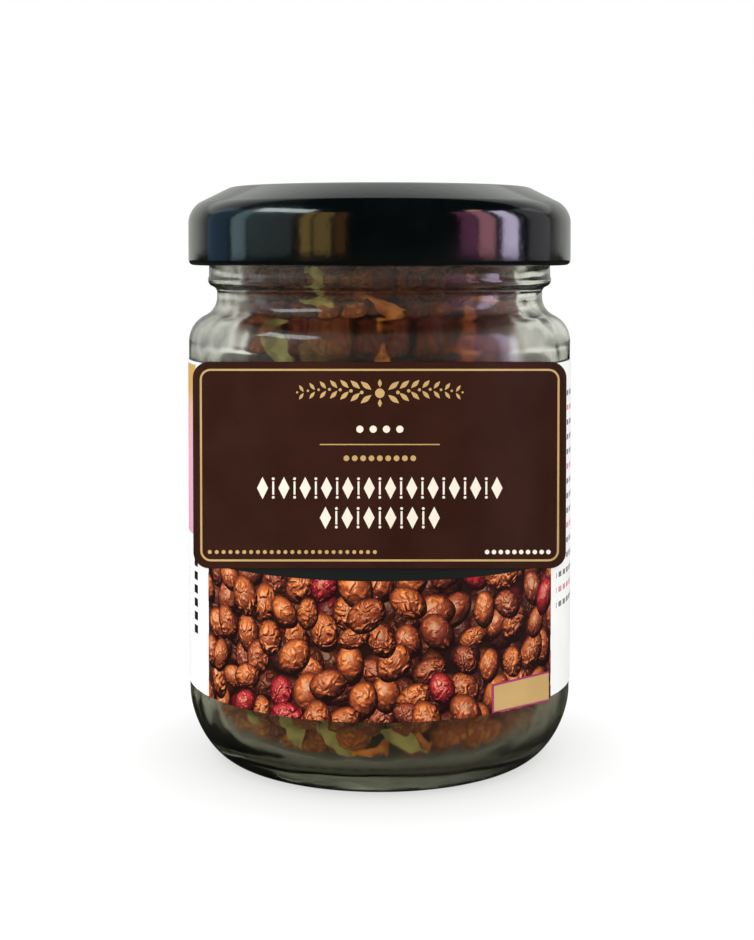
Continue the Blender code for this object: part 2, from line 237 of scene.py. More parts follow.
def build_dried_wrinkles():
    """The height of a dried berry's folds, which run lengthwise and meet at its two ends."""
    nodes, given, end = new_group(
        "dried_wrinkles",
        [("Around", VECTOR, None), ("Along", FLOAT, 0.0), ("Seed", FLOAT, 0.0), ("Folds", FLOAT, 1.6)],
        ("Height", "Mottle"),
    )
    turn = nodes.vector("SCALE", {0: given["Around"], 3: given["Folds"]})[0]
    at = nodes.vector("ADD", {0: turn, 1: nodes.combine(z=nodes.times(given["Along"], 1.7))})[0]
    folds = nodes.noise(at, 1.05, 2.0, W=given["Seed"], Roughness=0.45, Distortion=0.6)
    ridge = nodes.calc("ABSOLUTE", nodes.calc("SUBTRACT", folds, 0.5))
    spots = nodes.noise(at, 2.6, 2.0, W=given["Seed"])
    nodes.feed(end, {"Height": nodes.fade(ridge, 0.0, 0.20), "Mottle": spots})
    return nodes.tree


surface_wear = build_surface_wear()
paper_grain = build_paper_grain()
place_on_label = build_place_on_label()
dried_wrinkles = build_dried_wrinkles()
print("shared effects:", [group.name for group in bpy.data.node_groups])

# %% [markdown]
# The jar glass is ordinary flint glass: clear, with a grey-green tint that shows only where light
# travels far through it. The tint is therefore absorption inside the glass and not a colour on its
# face. Shadow rays pass straight through, so that the berries behind it are lit.

# %% Glass, lacquer and sealing compound


def make_clear_glass():
    made, nodes, shader = new_material("clear_glass", 0.03, Transmission_Weight=1.0, IOR=1.52)
    smudge = nodes.use(surface_wear, Broad_Scale=55.0, Fine_Scale=700.0)["Smudge"]
    ripple = nodes.noise(nodes.place(), 150.0, 1.0)
    dress(nodes, shader, (1, 1, 1, 1), ripple, 0.40, 0.0008, nodes.fade(smudge, 0.0, 1.0, 0.09, 0.20))
    passing = nodes.add("BsdfTransparent", {"Color": (0.93, 0.95, 0.93, 1)})[0]
    shadow = nodes.add("LightPath")["Is Shadow Ray"]
    mixed = nodes.add("MixShader", {0: shadow, 1: shader.outputs[0], 2: passing})[0]
    tint = nodes.add("VolumeAbsorption", {"Color": (0.64, 0.67, 0.54, 1), "Density": 42.0})[0]
    nodes.feed(made.node_tree.nodes["Material Output"], {"Surface": mixed, "Volume": tint})
    return made


def make_black_lacquer():
    """Stoved black lacquer on tinplate: very dark and glossy, with a trace of orange peel."""
    coat = {"Coat_Weight": 1.0, "Coat_Roughness": 0.10, "Coat_IOR": 1.5}
    made, nodes, shader = new_material("black_lacquer", 0.16, **coat)
    smudge = nodes.use(surface_wear, Broad_Scale=90.0, Fine_Scale=1500.0)["Smudge"]
    tint = nodes.blend(smudge, (0.0008, 0.0018, 0.0021), (0.0020, 0.0036, 0.0042))
    peel = nodes.noise(nodes.place(), 1100.0, 1.0)
    dress(nodes, shader, tint, peel, 0.10, 0.0002, nodes.fade(smudge, 0.0, 1.0, 0.13, 0.24))
    return made


def make_sealing_compound():
    """A soft cream ring that is flowed in and baked: matt, slightly uneven."""
    made, nodes, shader = new_material("sealing_compound", 0.55)
    smudge = nodes.use(surface_wear, Broad_Scale=240.0, Fine_Scale=1800.0)["Smudge"]
    dress(nodes, shader, nodes.blend(smudge, (0.78, 0.74, 0.64), (0.66, 0.61, 0.50)), smudge, 0.3, 0.0001)
    return made


clear_glass = make_clear_glass()
black_lacquer = make_black_lacquer()
sealing_compound = make_sealing_compound()

# %% [markdown]
# A jar is a turned form, so it is drawn as half a section and spun round the upright axis. The
# section's round corners are arcs, which keeps the glass smooth at any distance. The CAD model has
# the same section with fewer points.

# %% Helpers for turned and swept pieces


def turn_about(axis, angle):
    """A rotation by an angle in degrees."""
    return Matrix.Rotation(math.radians(angle), 3, axis)


def arc(centre, radius, start, end, steps):
    """Points on an arc in the plane of radius and height, with angles in degrees."""
    turns = [math.radians(start + (end - start) * i / steps) for i in range(steps + 1)]
    return [(centre[0] + radius * math.cos(t), centre[1] + radius * math.sin(t)) for t in turns]


def heel(low_r, low_z, high_r, high_z, fullness, steps):
    """The round corner between a floor and a wall; a fullness of 2 is a true quarter ellipse."""
    points = []
    for i in range(steps + 1):
        turn = math.pi / 2 * (1 - i / steps)
        out = max(math.cos(turn), 0.0) ** (2 / fullness)
        up = 1 - math.sin(turn) ** (2 / fullness)
        points.append((low_r + (high_r - low_r) * out, low_z + (high_z - low_z) * up))
    return points


def shoulder(body_r, start_z, round_r, sweep, neck_r, steps):
    """Two arcs that meet smoothly and take the wall from the body in to the upright neck."""
    convex = arc((body_r - round_r, start_z), round_r, 0, sweep, steps)
    lean = math.radians(sweep)
    end_r, end_z = convex[-1]
    hollow_r = (end_r - neck_r) / (1 - math.cos(lean))
    centre = (end_r + hollow_r * math.cos(lean), end_z + hollow_r * math.sin(lean))
    return convex + arc(centre, hollow_r, 180 + sweep, 180, steps)[1:]


def turned(profile, steps=180):
    """A closed solid of revolution from a profile of (radius, height)."""
    form = bmesh.new()
    verts = [form.verts.new((r, 0, z)) for r, z in profile]
    on_axis = profile[0][0] == 0 and profile[-1][0] == 0
    links = len(verts) - 1 if on_axis else len(verts)
    edges = [form.edges.new((verts[i], verts[(i + 1) % len(verts)])) for i in range(links)]
    bmesh.ops.spin(
        form, geom=verts + edges, cent=(0, 0, 0), axis=(0, 0, 1),
        angle=2 * math.pi, steps=steps, use_merge=True,
    )
    bmesh.ops.remove_doubles(form, verts=form.verts, dist=1e-7)
    bmesh.ops.recalc_face_normals(form, faces=form.faces)
    return form


def swept(section, start, sweep, steps, rise=0.0):
    """A closed solid swept about the axis through part of a turn; angles in degrees."""
    form = bmesh.new()
    turn = turn_about("Z", start)
    face = form.faces.new([form.verts.new(turn @ Vector((r, 0, z))) for r, z in section])
    bmesh.ops.spin(
        form, geom=[face, *face.edges, *face.verts], cent=(0, 0, 0), axis=(0, 0, 1),
        dvec=(0, 0, rise / steps), angle=math.radians(sweep), steps=steps,
    )
    bmesh.ops.recalc_face_normals(form, faces=form.faces)
    return form


def add_object(name, form, material, sharp=35):
    """Turns a bmesh into an object, shaded smooth with its creases kept sharp."""
    mesh = bpy.data.meshes.new(name)
    form.to_mesh(mesh)
    form.free()
    mesh.materials.append(material)
    mesh.shade_smooth()
    mesh.set_sharp_from_angle(angle=math.radians(sharp))
    made = bpy.data.objects.new(name, mesh)
    bpy.context.scene.collection.objects.link(made)
    return made


def report_piece(piece):
    faces = piece.data.polygons
    print(piece.name, "faces:", len(faces), "triangles:", sum(len(face.vertices) - 2 for face in faces))


def fuse(target, parts):
    """Joins the parts to the target for good, and removes them."""
    group = bpy.data.collections.new(target.name + "_parts")
    bpy.context.scene.collection.children.link(group)
    for part in parts:
        bpy.context.scene.collection.objects.unlink(part)
        group.objects.link(part)
    join = target.modifiers.new("fuse", "BOOLEAN")
    join.operand_type = "COLLECTION"
    join.collection = group
    join.operation = "UNION"
    join.solver = "EXACT"
    bpy.context.view_layer.update()
    fused = bpy.data.meshes.new_from_object(target.evaluated_get(bpy.context.evaluated_depsgraph_get()))
    target.modifiers.remove(join)
    target.data = fused
    for part in parts:
        bpy.data.objects.remove(part, do_unlink=True)
    bpy.data.collections.remove(group)


# %% [markdown]
# The glass jar. Its base stands on a stippled ring round a shallow hollow, its heel is a long soft
# curve, and a bead runs round the neck, which the machine holds it by. Four slanted threads near
# the rim carry the lid. They are fused to the wall, as moulded glass is one piece.

# %% Glass jar
GLASS_R = 0.02775
WALL = 0.0023
NECK_R = 0.0237
NECK_IN_R = 0.0216
BEAD_R = 0.0250
FINISH_R = 0.0242
RIM_Z = 0.0798
SHOULDER_Z = 0.0600
SHOULDER_ROUND = 0.0040
SHOULDER_SWEEP = 65
SHOULDER_IN_Z = 0.0589
SHOULDER_IN_ROUND = 0.0040
SHOULDER_IN_SWEEP = 58
BEAD_ROUND = 0.0010
BEAD_HOLLOW = 0.0009
BEAD_FOOT = 0.00065
BEAD_MIDDLE = 0.00245
BEAD_TOP = 0.0046
FINISH_START = 0.0058
LIP_ROUND = 0.0010
MOUTH_ROUND = 0.0007
RING_IN_R = 0.0204
RING_OUT_R = 0.0217
HEEL_Z = 0.0094
HEEL_FULLNESS = 1.7
PUNT_Z = 0.0016
PUNT_LINE = ((0, 1), (0.3, 0.99), (0.55, 0.92), (0.8, 0.76))
PUNT_EDGE = ((0.0011, 0.5), (0.0003, 0.12))
FLOOR_LINE = ((0, 0.0004), (0.5, 0.0003), (0.8, 0.0001))
FLOOR_Z = 0.0034
FLOOR_R = 0.0200
FLOOR_HEEL_Z = 0.0104
THREAD_R = 0.0257
THREAD_LOW_Z = 0.07275
THREAD_BEFORE = 9
THREAD_AFTER = 56
THREAD_RISE = 0.0011 / 70
THREAD_HIGH = 0.0017
THREAD_ROUND = 0.0005
THREAD_CREST = 0.0006
THREAD_SUNK = 0.0002
THREAD_PROUD = 0.00012
THREAD_RUNOUT = 0.09
LUG_ANGLES = (45, 135, 225, 315)
STIPPLE_DEPTH = 0.00012


def jar_outside():
    """The outside of the jar, from the middle of its base up to the rim."""
    punt = [(RING_IN_R * out, PUNT_Z * up) for out, up in PUNT_LINE]
    punt += [(RING_IN_R - back, PUNT_Z * up) for back, up in PUNT_EDGE]
    ring = [(RING_IN_R, 0), ((RING_IN_R + RING_OUT_R) / 2, 0)]
    foot = heel(RING_OUT_R, 0, GLASS_R, HEEL_Z, HEEL_FULLNESS, 20)
    slope = shoulder(GLASS_R, SHOULDER_Z, SHOULDER_ROUND, SHOULDER_SWEEP, NECK_R, 12)
    neck_z = slope[-1][1]
    under_bead = arc((NECK_R + BEAD_HOLLOW, neck_z + BEAD_FOOT), BEAD_HOLLOW, 180, 120, 6)
    bead = arc((BEAD_R - BEAD_ROUND, neck_z + BEAD_MIDDLE), BEAD_ROUND, -60, 30, 8)
    over_bead = arc((BEAD_R - BEAD_ROUND, neck_z + BEAD_TOP), BEAD_HOLLOW, 20, 80, 6)
    wall = [(FINISH_R, neck_z + FINISH_START)]
    lip = arc((FINISH_R - LIP_ROUND, RIM_Z - LIP_ROUND), LIP_ROUND, 0, 90, 6)
    return punt + ring + foot + slope + under_bead + bead + over_bead + wall + lip


def jar_inside(fineness=1):
    """The inside of the jar, from the middle of its floor up to the rim."""
    steps = 12 // fineness
    floor = [(FLOOR_R * out, FLOOR_Z + up) for out, up in FLOOR_LINE]
    corner = heel(FLOOR_R, FLOOR_Z, GLASS_R - WALL, FLOOR_HEEL_Z, 2, steps)
    slope = shoulder(GLASS_R - WALL, SHOULDER_IN_Z, SHOULDER_IN_ROUND, SHOULDER_IN_SWEEP, NECK_IN_R, steps)
    mouth = arc((NECK_IN_R + MOUTH_ROUND, RIM_Z - MOUTH_ROUND), MOUTH_ROUND, 180, 90, 6)
    return floor + corner + slope + mouth


def thread(lug_angle, material):
    """One slanted thread, sunk in the wall, with its crest running out at both ends."""
    root_r = FINISH_R - THREAD_SUNK
    end_r = FINISH_R + THREAD_PROUD
    sweep = THREAD_BEFORE + THREAD_AFTER
    low = THREAD_LOW_Z - THREAD_BEFORE * THREAD_RISE
    crest = arc((THREAD_R - THREAD_ROUND, low + THREAD_CREST), THREAD_ROUND, -80, 60, 5)
    section = [(root_r, low), *crest, (root_r, low + THREAD_HIGH)]
    start = lug_angle - THREAD_BEFORE
    form = swept(section, start, sweep, 26, THREAD_RISE * sweep)
    turn_back = turn_about("Z", -start)
    for vert in form.verts:
        unturned = turn_back @ vert.co
        share = math.degrees(math.atan2(unturned.y, unturned.x)) / sweep
        radius = unturned.xy.length
        near_end = min(share, 1 - share) / THREAD_RUNOUT
        if near_end < 1 and radius > root_r + 1e-5:
            height = end_r + (radius - end_r) * math.sin(math.pi / 2 * max(near_end, 0))
            vert.co.xy *= height / radius
    return add_object("thread", form, material)


def stipple(form):
    """Presses short notches into the ring that the jar stands on, as its mould does."""
    for vert in form.verts:
        radius = vert.co.xy.length
        if RING_IN_R - 1e-6 < radius < RING_OUT_R + 1e-6 and vert.co.z < 1e-6:
            turn = round(math.degrees(math.atan2(vert.co.y, vert.co.x)) / 2)
            vert.co.z += STIPPLE_DEPTH * (turn % 3 == 0)


glass_form = turned(jar_outside() + jar_inside()[::-1])
stipple(glass_form)
glass_jar = add_object("glass_jar", glass_form, clear_glass)
fuse(glass_jar, [thread(angle, clear_glass) for angle in LUG_ANGLES])
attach(glass_jar, "jar")
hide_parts("jar_glass")
report_piece(glass_jar)

# %% [markdown]
# The lid is one pressed sheet of tinplate. Its side rises to a rounded shoulder, a low ridge runs
# round the top, and the panel inside it lies half a millimetre lower. The cut edge is rolled
# inwards, and at four places the roll is pressed flat into lugs that hook under the glass threads.

# %% Lid
LID_Z = 0.07095
LID_R = 0.02780
LID_H = 0.01125
LID_SHEET = 0.0003
LID_SIDE_H = 0.0060
LID_SHOULDER_R = 0.0036
LID_SHOULDER_SWEEP = 59
LID_RIDGE_R = 0.0217
LID_RIDGE_IN_R = 0.0202
LID_PANEL_R = 0.0190
LID_PANEL_DROP = 0.0005
LID_SOFTNESS = 0.00045
CURL_R = 0.00075
CURL_H = 0.0018
CURL_TUCK = 0.0001
CURL_EASE = 0.0005
CURL_TIGHT = 0.86
LUG_IN_R = 0.0249
LUG_LOW = 0.00025
LUG_HIGH = 0.00145
LUG_WIDTH = 14
LUG_NOSE = ((0, 0.0003), (0.0001, 0.0001), (0.0004, 0))


def softened(points, corners, radius, steps):
    """The line with some of its corners rounded by a vertex bevel."""
    form = bmesh.new()
    verts = [form.verts.new((r, 0, z)) for r, z in points]
    for a, b in zip(verts, verts[1:]):
        form.edges.new((a, b))
    bmesh.ops.bevel(
        form, geom=[verts[i] for i in corners], offset=radius, offset_type="OFFSET", segments=steps,
        profile=0.5, affect="VERTICES", material=-1, clamp_overlap=True,
    )
    form.verts.ensure_lookup_table()
    at = next(v for v in form.verts if (v.co.xz - Vector(points[0])).length < 1e-7)
    line, before = [], None
    while at is not None:
        line.append((at.co.x, at.co.z))
        onward = [e.other_vert(at) for e in at.link_edges if e.other_vert(at) is not before]
        before, at = at, onward[0] if onward else None
    form.free()
    return line


def offset_line(points, distance):
    """The line moved sideways, to the right of its direction, by the distance."""
    moved = []
    for i, (r, z) in enumerate(points):
        before = points[max(i - 1, 0)]
        after = points[min(i + 1, len(points) - 1)]
        along = Vector((after[0] - before[0], after[1] - before[1])).normalized()
        moved.append((r + along.y * distance, z - along.x * distance))
    return moved


def lid_profile():
    """The sheet's outer face down to the roll, the roll, and the inner face back up."""
    panel_z = LID_H - LID_PANEL_DROP
    side = [(LID_R, CURL_R), (LID_R, LID_SIDE_H * 0.6), (LID_R, LID_SIDE_H)]
    crown = arc((LID_R - LID_SHOULDER_R, LID_SIDE_H), LID_SHOULDER_R, 0, LID_SHOULDER_SWEEP, 14)[1:]
    corners = [crown[-1], (LID_RIDGE_R, LID_H), (LID_RIDGE_IN_R, LID_H), (LID_PANEL_R, panel_z), (0, panel_z)]
    outside = side + crown + softened(corners, (1, 2, 3), LID_SOFTNESS, 5)[1:]
    inside = offset_line(outside[2:], -LID_SHEET)
    inside[0] = (LID_R - LID_SHEET, LID_SIDE_H)
    inside[-1] = (0, panel_z - LID_SHEET)
    roll = arc((LID_R - CURL_R, CURL_R), CURL_R, 0, -180, 12)[1:]
    roll += arc((LID_R - CURL_R - CURL_TUCK, CURL_H - CURL_EASE), CURL_R * CURL_TIGHT, 180, 80, 6)
    roll += [(LID_R - LID_SHEET, CURL_H + CURL_EASE)]
    return [(r, z + LID_Z) for r, z in outside[::-1] + roll + inside]


def lug(angle, material):
    """A flattened piece of the roll that reaches in under a thread."""
    section = [(LUG_IN_R + out, LUG_LOW + up) for out, up in LUG_NOSE]
    section += [(LID_R - CURL_R, LUG_LOW), (LID_R - CURL_R, LUG_HIGH)]
    section += [(LUG_IN_R + out, LUG_HIGH - up) for out, up in LUG_NOSE[::-1]]
    placed = [(r, z + LID_Z) for r, z in section]
    return add_object("lug", swept(placed, angle - LUG_WIDTH / 2, LUG_WIDTH, 10), material)


lid_lacquered = add_object("lid_lacquered", turned(lid_profile()), black_lacquer)
fuse(lid_lacquered, [lug(angle, black_lacquer) for angle in LUG_ANGLES])
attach(lid_lacquered, "lid")
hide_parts("lid_shell")
report_piece(lid_lacquered)

seal_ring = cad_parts["lid_seal"]
seal_ring.data.materials.clear()
seal_ring.data.materials.append(sealing_compound)
print("seal ring keeps its CAD shape:", seal_ring.name)

# %% [markdown]
# Labels are thin sheets bent round the jar. Each is drawn flat, as it leaves the printing press,
# cut at every degree, given its thickness and then bent. Print is made in the same way as very thin
# shapes on top. Cutting all of them at the same lines lets them lie flush on one another.
#
# The front label is die-cut with bowed edges, which look straight to somebody who stands in front
# of the jar. It is therefore drawn as it looks from there, and a second way of bending takes every
# point from that drawing back to its place on the jar.

# %% Helpers for flat pieces that are bent round the jar
DEGREE = math.radians(1)
MAP_R = 0.028
BLEED = 1e-7
VIEW_R = 0.02808


def seen_width(turn):
    """How far to the side a place round the jar looks from the front, on the label's front plane."""
    return VIEW_R * math.sin(turn) * (EYE_BACK - VIEW_R) / (EYE_BACK - VIEW_R * math.cos(turn))


def from_view(x, z):
    """The angle and height on the jar of a place that is drawn on the label's front plane."""
    front = EYE_BACK - VIEW_R
    ahead, aside = VIEW_R * front, VIEW_R * x
    turn = math.asin(x * EYE_BACK / math.hypot(ahead, aside)) - math.atan2(aside, ahead)
    away = (EYE_BACK - VIEW_R * math.cos(turn)) / front
    return turn, EYE_UP + (z - EYE_UP) * away


def from_press(x, z):
    """The angle and height of a place that is drawn on the label laid out flat."""
    return x / MAP_R, z


def pressed_width(turn):
    return turn * MAP_R


def bend_round(form, radius, thickness, as_seen=False):
    """Cuts flat faces at every degree, thickens them and bends them round the jar."""
    width_at, place_of = (seen_width, from_view) if as_seen else (pressed_width, from_press)
    turns = [place_of(v.co.x, v.co.z)[0] / DEGREE for v in form.verts]
    for k in range(math.floor(min(turns)) + 1, math.ceil(max(turns))):
        bmesh.ops.bisect_plane(
            form, geom=[*form.verts, *form.edges, *form.faces], dist=BLEED,
            plane_co=(width_at(k * DEGREE), 0, 0), plane_no=(1, 0, 0),
        )
    raised = bmesh.ops.extrude_face_region(form, geom=list(form.faces))["geom"]
    for vert in [v for v in raised if isinstance(v, bmesh.types.BMVert)]:
        vert.co.y += thickness
    for vert in form.verts:
        turn, height = place_of(vert.co.x, vert.co.z)
        run = turn / DEGREE
        whole = math.floor(run + 1e-4)
        a, b = [Vector((math.sin(k * DEGREE), -math.cos(k * DEGREE))) for k in (whole, whole + 1)]
        spot = a.lerp(b, run - whole) * (radius + vert.co.y)
        vert.co = (spot.x, spot.y, height)
    bmesh.ops.recalc_face_normals(form, faces=form.faces)
    return form


def flat_plate(form, half_run, low, high, corner, steps=8):
    """A flat plate with round corners, half as wide as the run each way."""
    outline = []
    for side, upper, start in ((1, 1, 0), (-1, 1, 90), (-1, 0, 180), (1, 0, 270)):
        middle = (side * (half_run - corner), (high - corner) if upper else (low + corner))
        outline += arc(middle, corner, start, start + 90, steps)
    return form.faces.new([form.verts.new((x, 0, z)) for x, z in outline])


# %% [markdown]
# The wraparound label is coated paper. Its ends stop short of each other at the back, where a strip
# of bare glass shows the berries. Its print is a berry picture under a black panel at the front, a
# band that fades from pink to gold at the left, and rows of plain bars, dashes and lines on white.

# %% Wraparound label
WRAP_R = 0.02777
WRAP_THICK = 0.00013
WRAP_LOW = 0.0111
WRAP_HIGH = 0.0574
WRAP_HALF_ANGLE = 171
PRINT_HALF_ANGLE = 58.2
PRINT_HIGH = 29.8
PINK_TO_GOLD = (
    (0.0, (0.76, 0.36, 0.52)), (0.55, (0.80, 0.42, 0.52)),
    (0.88, (0.74, 0.42, 0.30)), (0.95, (0.62, 0.36, 0.11)),
)


def rows_of_marks(nodes, along, across, pitch, length, row_pitch, row_height):
    """A table of short bars: one where a bar is."""
    step = nodes.calc("FRACT", nodes.calc("DIVIDE", along, pitch))
    row = nodes.calc("FRACT", nodes.calc("DIVIDE", across, row_pitch))
    return nodes.times(nodes.calc("LESS_THAN", step, length), nodes.calc("LESS_THAN", row, row_height))


def make_printed_paper():
    """Coated paper with all of its print apart from the berries."""
    made, nodes, shader = new_material("printed_paper", 0.5, Specular_IOR_Level=0.15)
    angle, height = nodes.use(place_on_label)
    sunset = nodes.ramp(nodes.fade(height, 31.0, 57.0), PINK_TO_GOLD)
    dashes = rows_of_marks(nodes, height, angle, 1.9, 0.62, 7.0, 0.5)
    bars = rows_of_marks(nodes, angle, height, 4.0, 0.62, 2.1, 0.36)
    lines = rows_of_marks(nodes, angle, height, 30.0, 2.0, 3.3, 0.06)
    heading = nodes.calc("LESS_THAN", nodes.calc("FRACT", nodes.calc("DIVIDE", height, 8.4)), 0.25)
    small_print = nodes.blend(heading, (0.20, 0.20, 0.21), (0.66, 0.26, 0.34))
    base = (0.88, 0.88, 0.87)
    for marks, angles, heights, colour in (
        (1.0, (-96.0, -68.0), (32.8, 57.0), sunset),
        (dashes, (-71.0, -65.0), (18.5, 30.0), (0.012, 0.011, 0.010)),
        (bars, (62.0, 150.0), (22.0, 54.5), small_print),
        (lines, (-160.0, -104.0), (16.0, 51.0), (0.25, 0.25, 0.26)),
    ):
        zone = nodes.times(nodes.inside(angle, *angles), nodes.inside(height, *heights))
        base = nodes.blend(nodes.times(zone, marks), base, colour)
    panel = nodes.fade(height, PRINT_HIGH - 0.05, PRINT_HIGH + 0.05)
    under_print = nodes.blend(panel, (0.020, 0.006, 0.003), (0.010, 0.013, 0.012))
    base = nodes.blend(nodes.inside(angle, -PRINT_HALF_ANGLE, PRINT_HALF_ANGLE, 0.05), base, under_print)
    fibres, uneven = nodes.use(paper_grain)
    base = nodes.blend(nodes.fade(uneven, 0.3, 0.7, 0.0, 0.10), base, (0.66, 0.64, 0.60), "MULTIPLY")
    dress(nodes, shader, base, fibres, 0.15, 0.00004)
    return made


printed_paper = make_printed_paper()
wrap_form = bmesh.new()
flat_plate(wrap_form, WRAP_HALF_ANGLE * DEGREE * MAP_R, WRAP_LOW, WRAP_HIGH, 0.0006, 4)
label_paper = add_object("label_paper", bend_round(wrap_form, WRAP_R, WRAP_THICK), printed_paper)
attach(label_paper, "jar")
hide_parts("label_wrap")
report_piece(label_paper)

# %% [markdown]
# The berry picture on the label is a generic heap of dried berries. Each printed berry is a flat
# cut-out with an uneven edge, laid over its neighbours at random. Its light and shade are painted by
# the material from two numbers that the cut-out carries: where a point lies within the berry, and
# which way the picture's light falls on it.

# %% Printed berries
INK_R = WRAP_R + WRAP_THICK + 0.000004
INK_STEP = 0.000005
INK_THICK = 0.0000035
PRINT_SIZE = (0.00202, 0.00268)
PRINT_FOLDS = 1.5
FOLD_STEP = 0.07
FOLD_RELIEF = (0.7, 2.2)
PRINT_LAYERS = ((0.0037, 2.0), (0.0040, 0.0))
PRINT_SEED = 7
PRINT_OVERLAP = 0.0060
PRINT_UNEVEN = 0.07
PICTURE_LIGHT = math.radians(118)
ORANGE = (
    (0.0, (0.014, 0.003, 0.002)), (0.22, (0.075, 0.013, 0.005)), (0.48, (0.29, 0.052, 0.011)),
    (0.76, (0.62, 0.150, 0.026)), (1.0, (0.88, 0.32, 0.10)),
)
RUSSET = (
    (0.0, (0.012, 0.003, 0.002)), (0.26, (0.055, 0.009, 0.005)), (0.56, (0.20, 0.028, 0.011)),
    (0.84, (0.44, 0.085, 0.030)), (1.0, (0.62, 0.20, 0.09)),
)
CRIMSON = (
    (0.0, (0.020, 0.001, 0.002)), (0.28, (0.11, 0.003, 0.006)), (0.6, (0.38, 0.010, 0.016)),
    (0.86, (0.60, 0.035, 0.045)), (1.0, (0.80, 0.25, 0.22)),
)


def make_printed_berries():
    """A painted berry: a dome whose folds catch the light of the picture, and shine a little."""
    made, nodes, shader = new_material("printed_berries", 0.5, Specular_IOR_Level=0.15)
    across, along, seed = nodes.attribute("berry_place")
    tone, light_x, light_y = nodes.attribute("berry_look")
    reach = nodes.calc("ADD", nodes.times(across, across), nodes.times(along, along))
    dome = nodes.calc("SQRT", nodes.calc("MAXIMUM", nodes.calc("SUBTRACT", 1.0, reach), 0.0))

    def folds(step_across, step_along):
        """The folds a small step from here, as on the ball that the dome belongs to."""
        around = nodes.combine(nodes.calc("ADD", across, step_across), dome)
        height = nodes.calc("ADD", along, step_along)
        return nodes.use(dried_wrinkles, Around=around, Along=height, Seed=seed, Folds=PRINT_FOLDS)

    def lit_from(aside, ahead):
        """How far the surface faces a light that stands so far to the side and ahead."""
        light = nodes.combine(nodes.times(light_x, aside), nodes.times(light_y, aside), ahead)
        return nodes.calc("MAXIMUM", nodes.vector("DOT_PRODUCT", {0: surface, 1: light})["Value"], 0.0)

    here = folds(0.0, 0.0)
    relief = nodes.fade(nodes.calc("SINE", nodes.times(seed, 3.0)), -1.0, 1.0, *FOLD_RELIEF)
    tilted = []
    for flat, step in ((across, (FOLD_STEP, 0.0)), (along, (0.0, FOLD_STEP))):
        slope = nodes.calc("SUBTRACT", folds(*step)["Height"], here["Height"])
        tilted.append(nodes.calc("SUBTRACT", flat, nodes.times(slope, relief)))
    surface = nodes.vector("NORMALIZE", {0: nodes.combine(*tilted, dome)})[0]
    rim = nodes.fade(reach, 0.55, 1.0, 1.0, 0.52)
    hollow = nodes.fade(here["Height"], 0.0, 1.0, 0.72, 1.0)
    beneath = nodes.calc("GREATER_THAN", tone, 1.5)
    clear = nodes.calc("SUBTRACT", 1.0, nodes.times(beneath, 0.60))
    shade = nodes.times(lit_from(0.62, 0.78), rim, hollow, clear)
    glint = nodes.times(nodes.calc("POWER", lit_from(0.33, 0.944), 26.0), clear, 0.42)
    tone = nodes.calc("FRACT", tone)
    base = nodes.blend(nodes.fade(tone, 0.05, 0.50), nodes.ramp(shade, RUSSET), nodes.ramp(shade, ORANGE))
    base = nodes.blend(nodes.fade(tone, 0.900, 0.905), base, nodes.ramp(shade, CRIMSON))
    mottle = nodes.fade(here["Mottle"], 0.5, 0.8, 0.0, 0.35)
    base = nodes.blend(mottle, base, (0.80, 0.50, 0.38), "MULTIPLY")
    base = nodes.blend(glint, base, (0.98, 0.66, 0.42))
    dress(nodes, shader, base, nodes.use(paper_grain)["Height"], 0.10, 0.00004)
    return made


def print_spots(draw):
    """Places for the printed berries, on a loose grid, in the order in which they are laid."""
    half = PRINT_HALF_ANGLE * DEGREE * MAP_R
    spots = []
    for pitch, weight in PRINT_LAYERS:
        rows = round((PRINT_HIGH / 1000 - WRAP_LOW) / pitch) + 1
        columns = round(2 * half / pitch) + 1
        layer = []
        for row in range(rows):
            for column in range(columns):
                x = -half + 2 * half * (column + 0.5 * (row % 2)) / (columns - 0.5)
                z = WRAP_LOW + (PRINT_HIGH / 1000 - WRAP_LOW) * row / (rows - 1)
                x += draw.uniform(-1, 1) * pitch * 0.30
                layer.append((x, z + draw.uniform(-1, 1) * pitch * 0.27, weight))
        draw.shuffle(layer)
        spots += layer
    return spots


def print_cutouts(draw):
    """The cut-outs as one flat mesh, each on a level of its own where they overlap."""
    form = bmesh.new()
    place = form.verts.layers.float_vector.new("berry_place")
    look = form.verts.layers.float_vector.new("berry_look")
    laid = []
    for x, z, weight in print_spots(draw):
        beneath = [1 + other for a, b, other in laid if math.dist((x, z), (a, b)) < PRINT_OVERLAP]
        level = max(beneath, default=0)
        laid.append((x, z, level))
        scale = draw.uniform(0.82, 1.10)
        half_wide = PRINT_SIZE[0] * scale * draw.uniform(0.88, 1.06)
        half_long = PRINT_SIZE[1] * scale
        lean = math.radians(draw.choice((draw.gauss(10, 35), draw.uniform(0, 180))))
        tone, seed = draw.random(), draw.uniform(0, 50)
        light = PICTURE_LIGHT - lean
        before = len(form.verts)
        bmesh.ops.create_circle(form, cap_tris=True, cap_ends=True, segments=30, radius=1)
        form.verts.ensure_lookup_table()
        for vert in form.verts[before:]:
            s, t = vert.co.x, vert.co.y
            wobble = 1 + PRINT_UNEVEN * noise.noise(Vector((s * 1.3, t * 1.3, seed)))
            vert[place] = (s, t, seed)
            vert[look] = (weight + tone, math.cos(light), math.sin(light))
            a, b = s * half_wide * wobble, t * half_long * wobble
            vert.co = (
                x + a * math.cos(lean) - b * math.sin(lean), level * INK_STEP,
                z + a * math.sin(lean) + b * math.cos(lean),
            )
    print("printed berries:", len(laid), "levels:", 1 + max(level for _, _, level in laid))
    return form


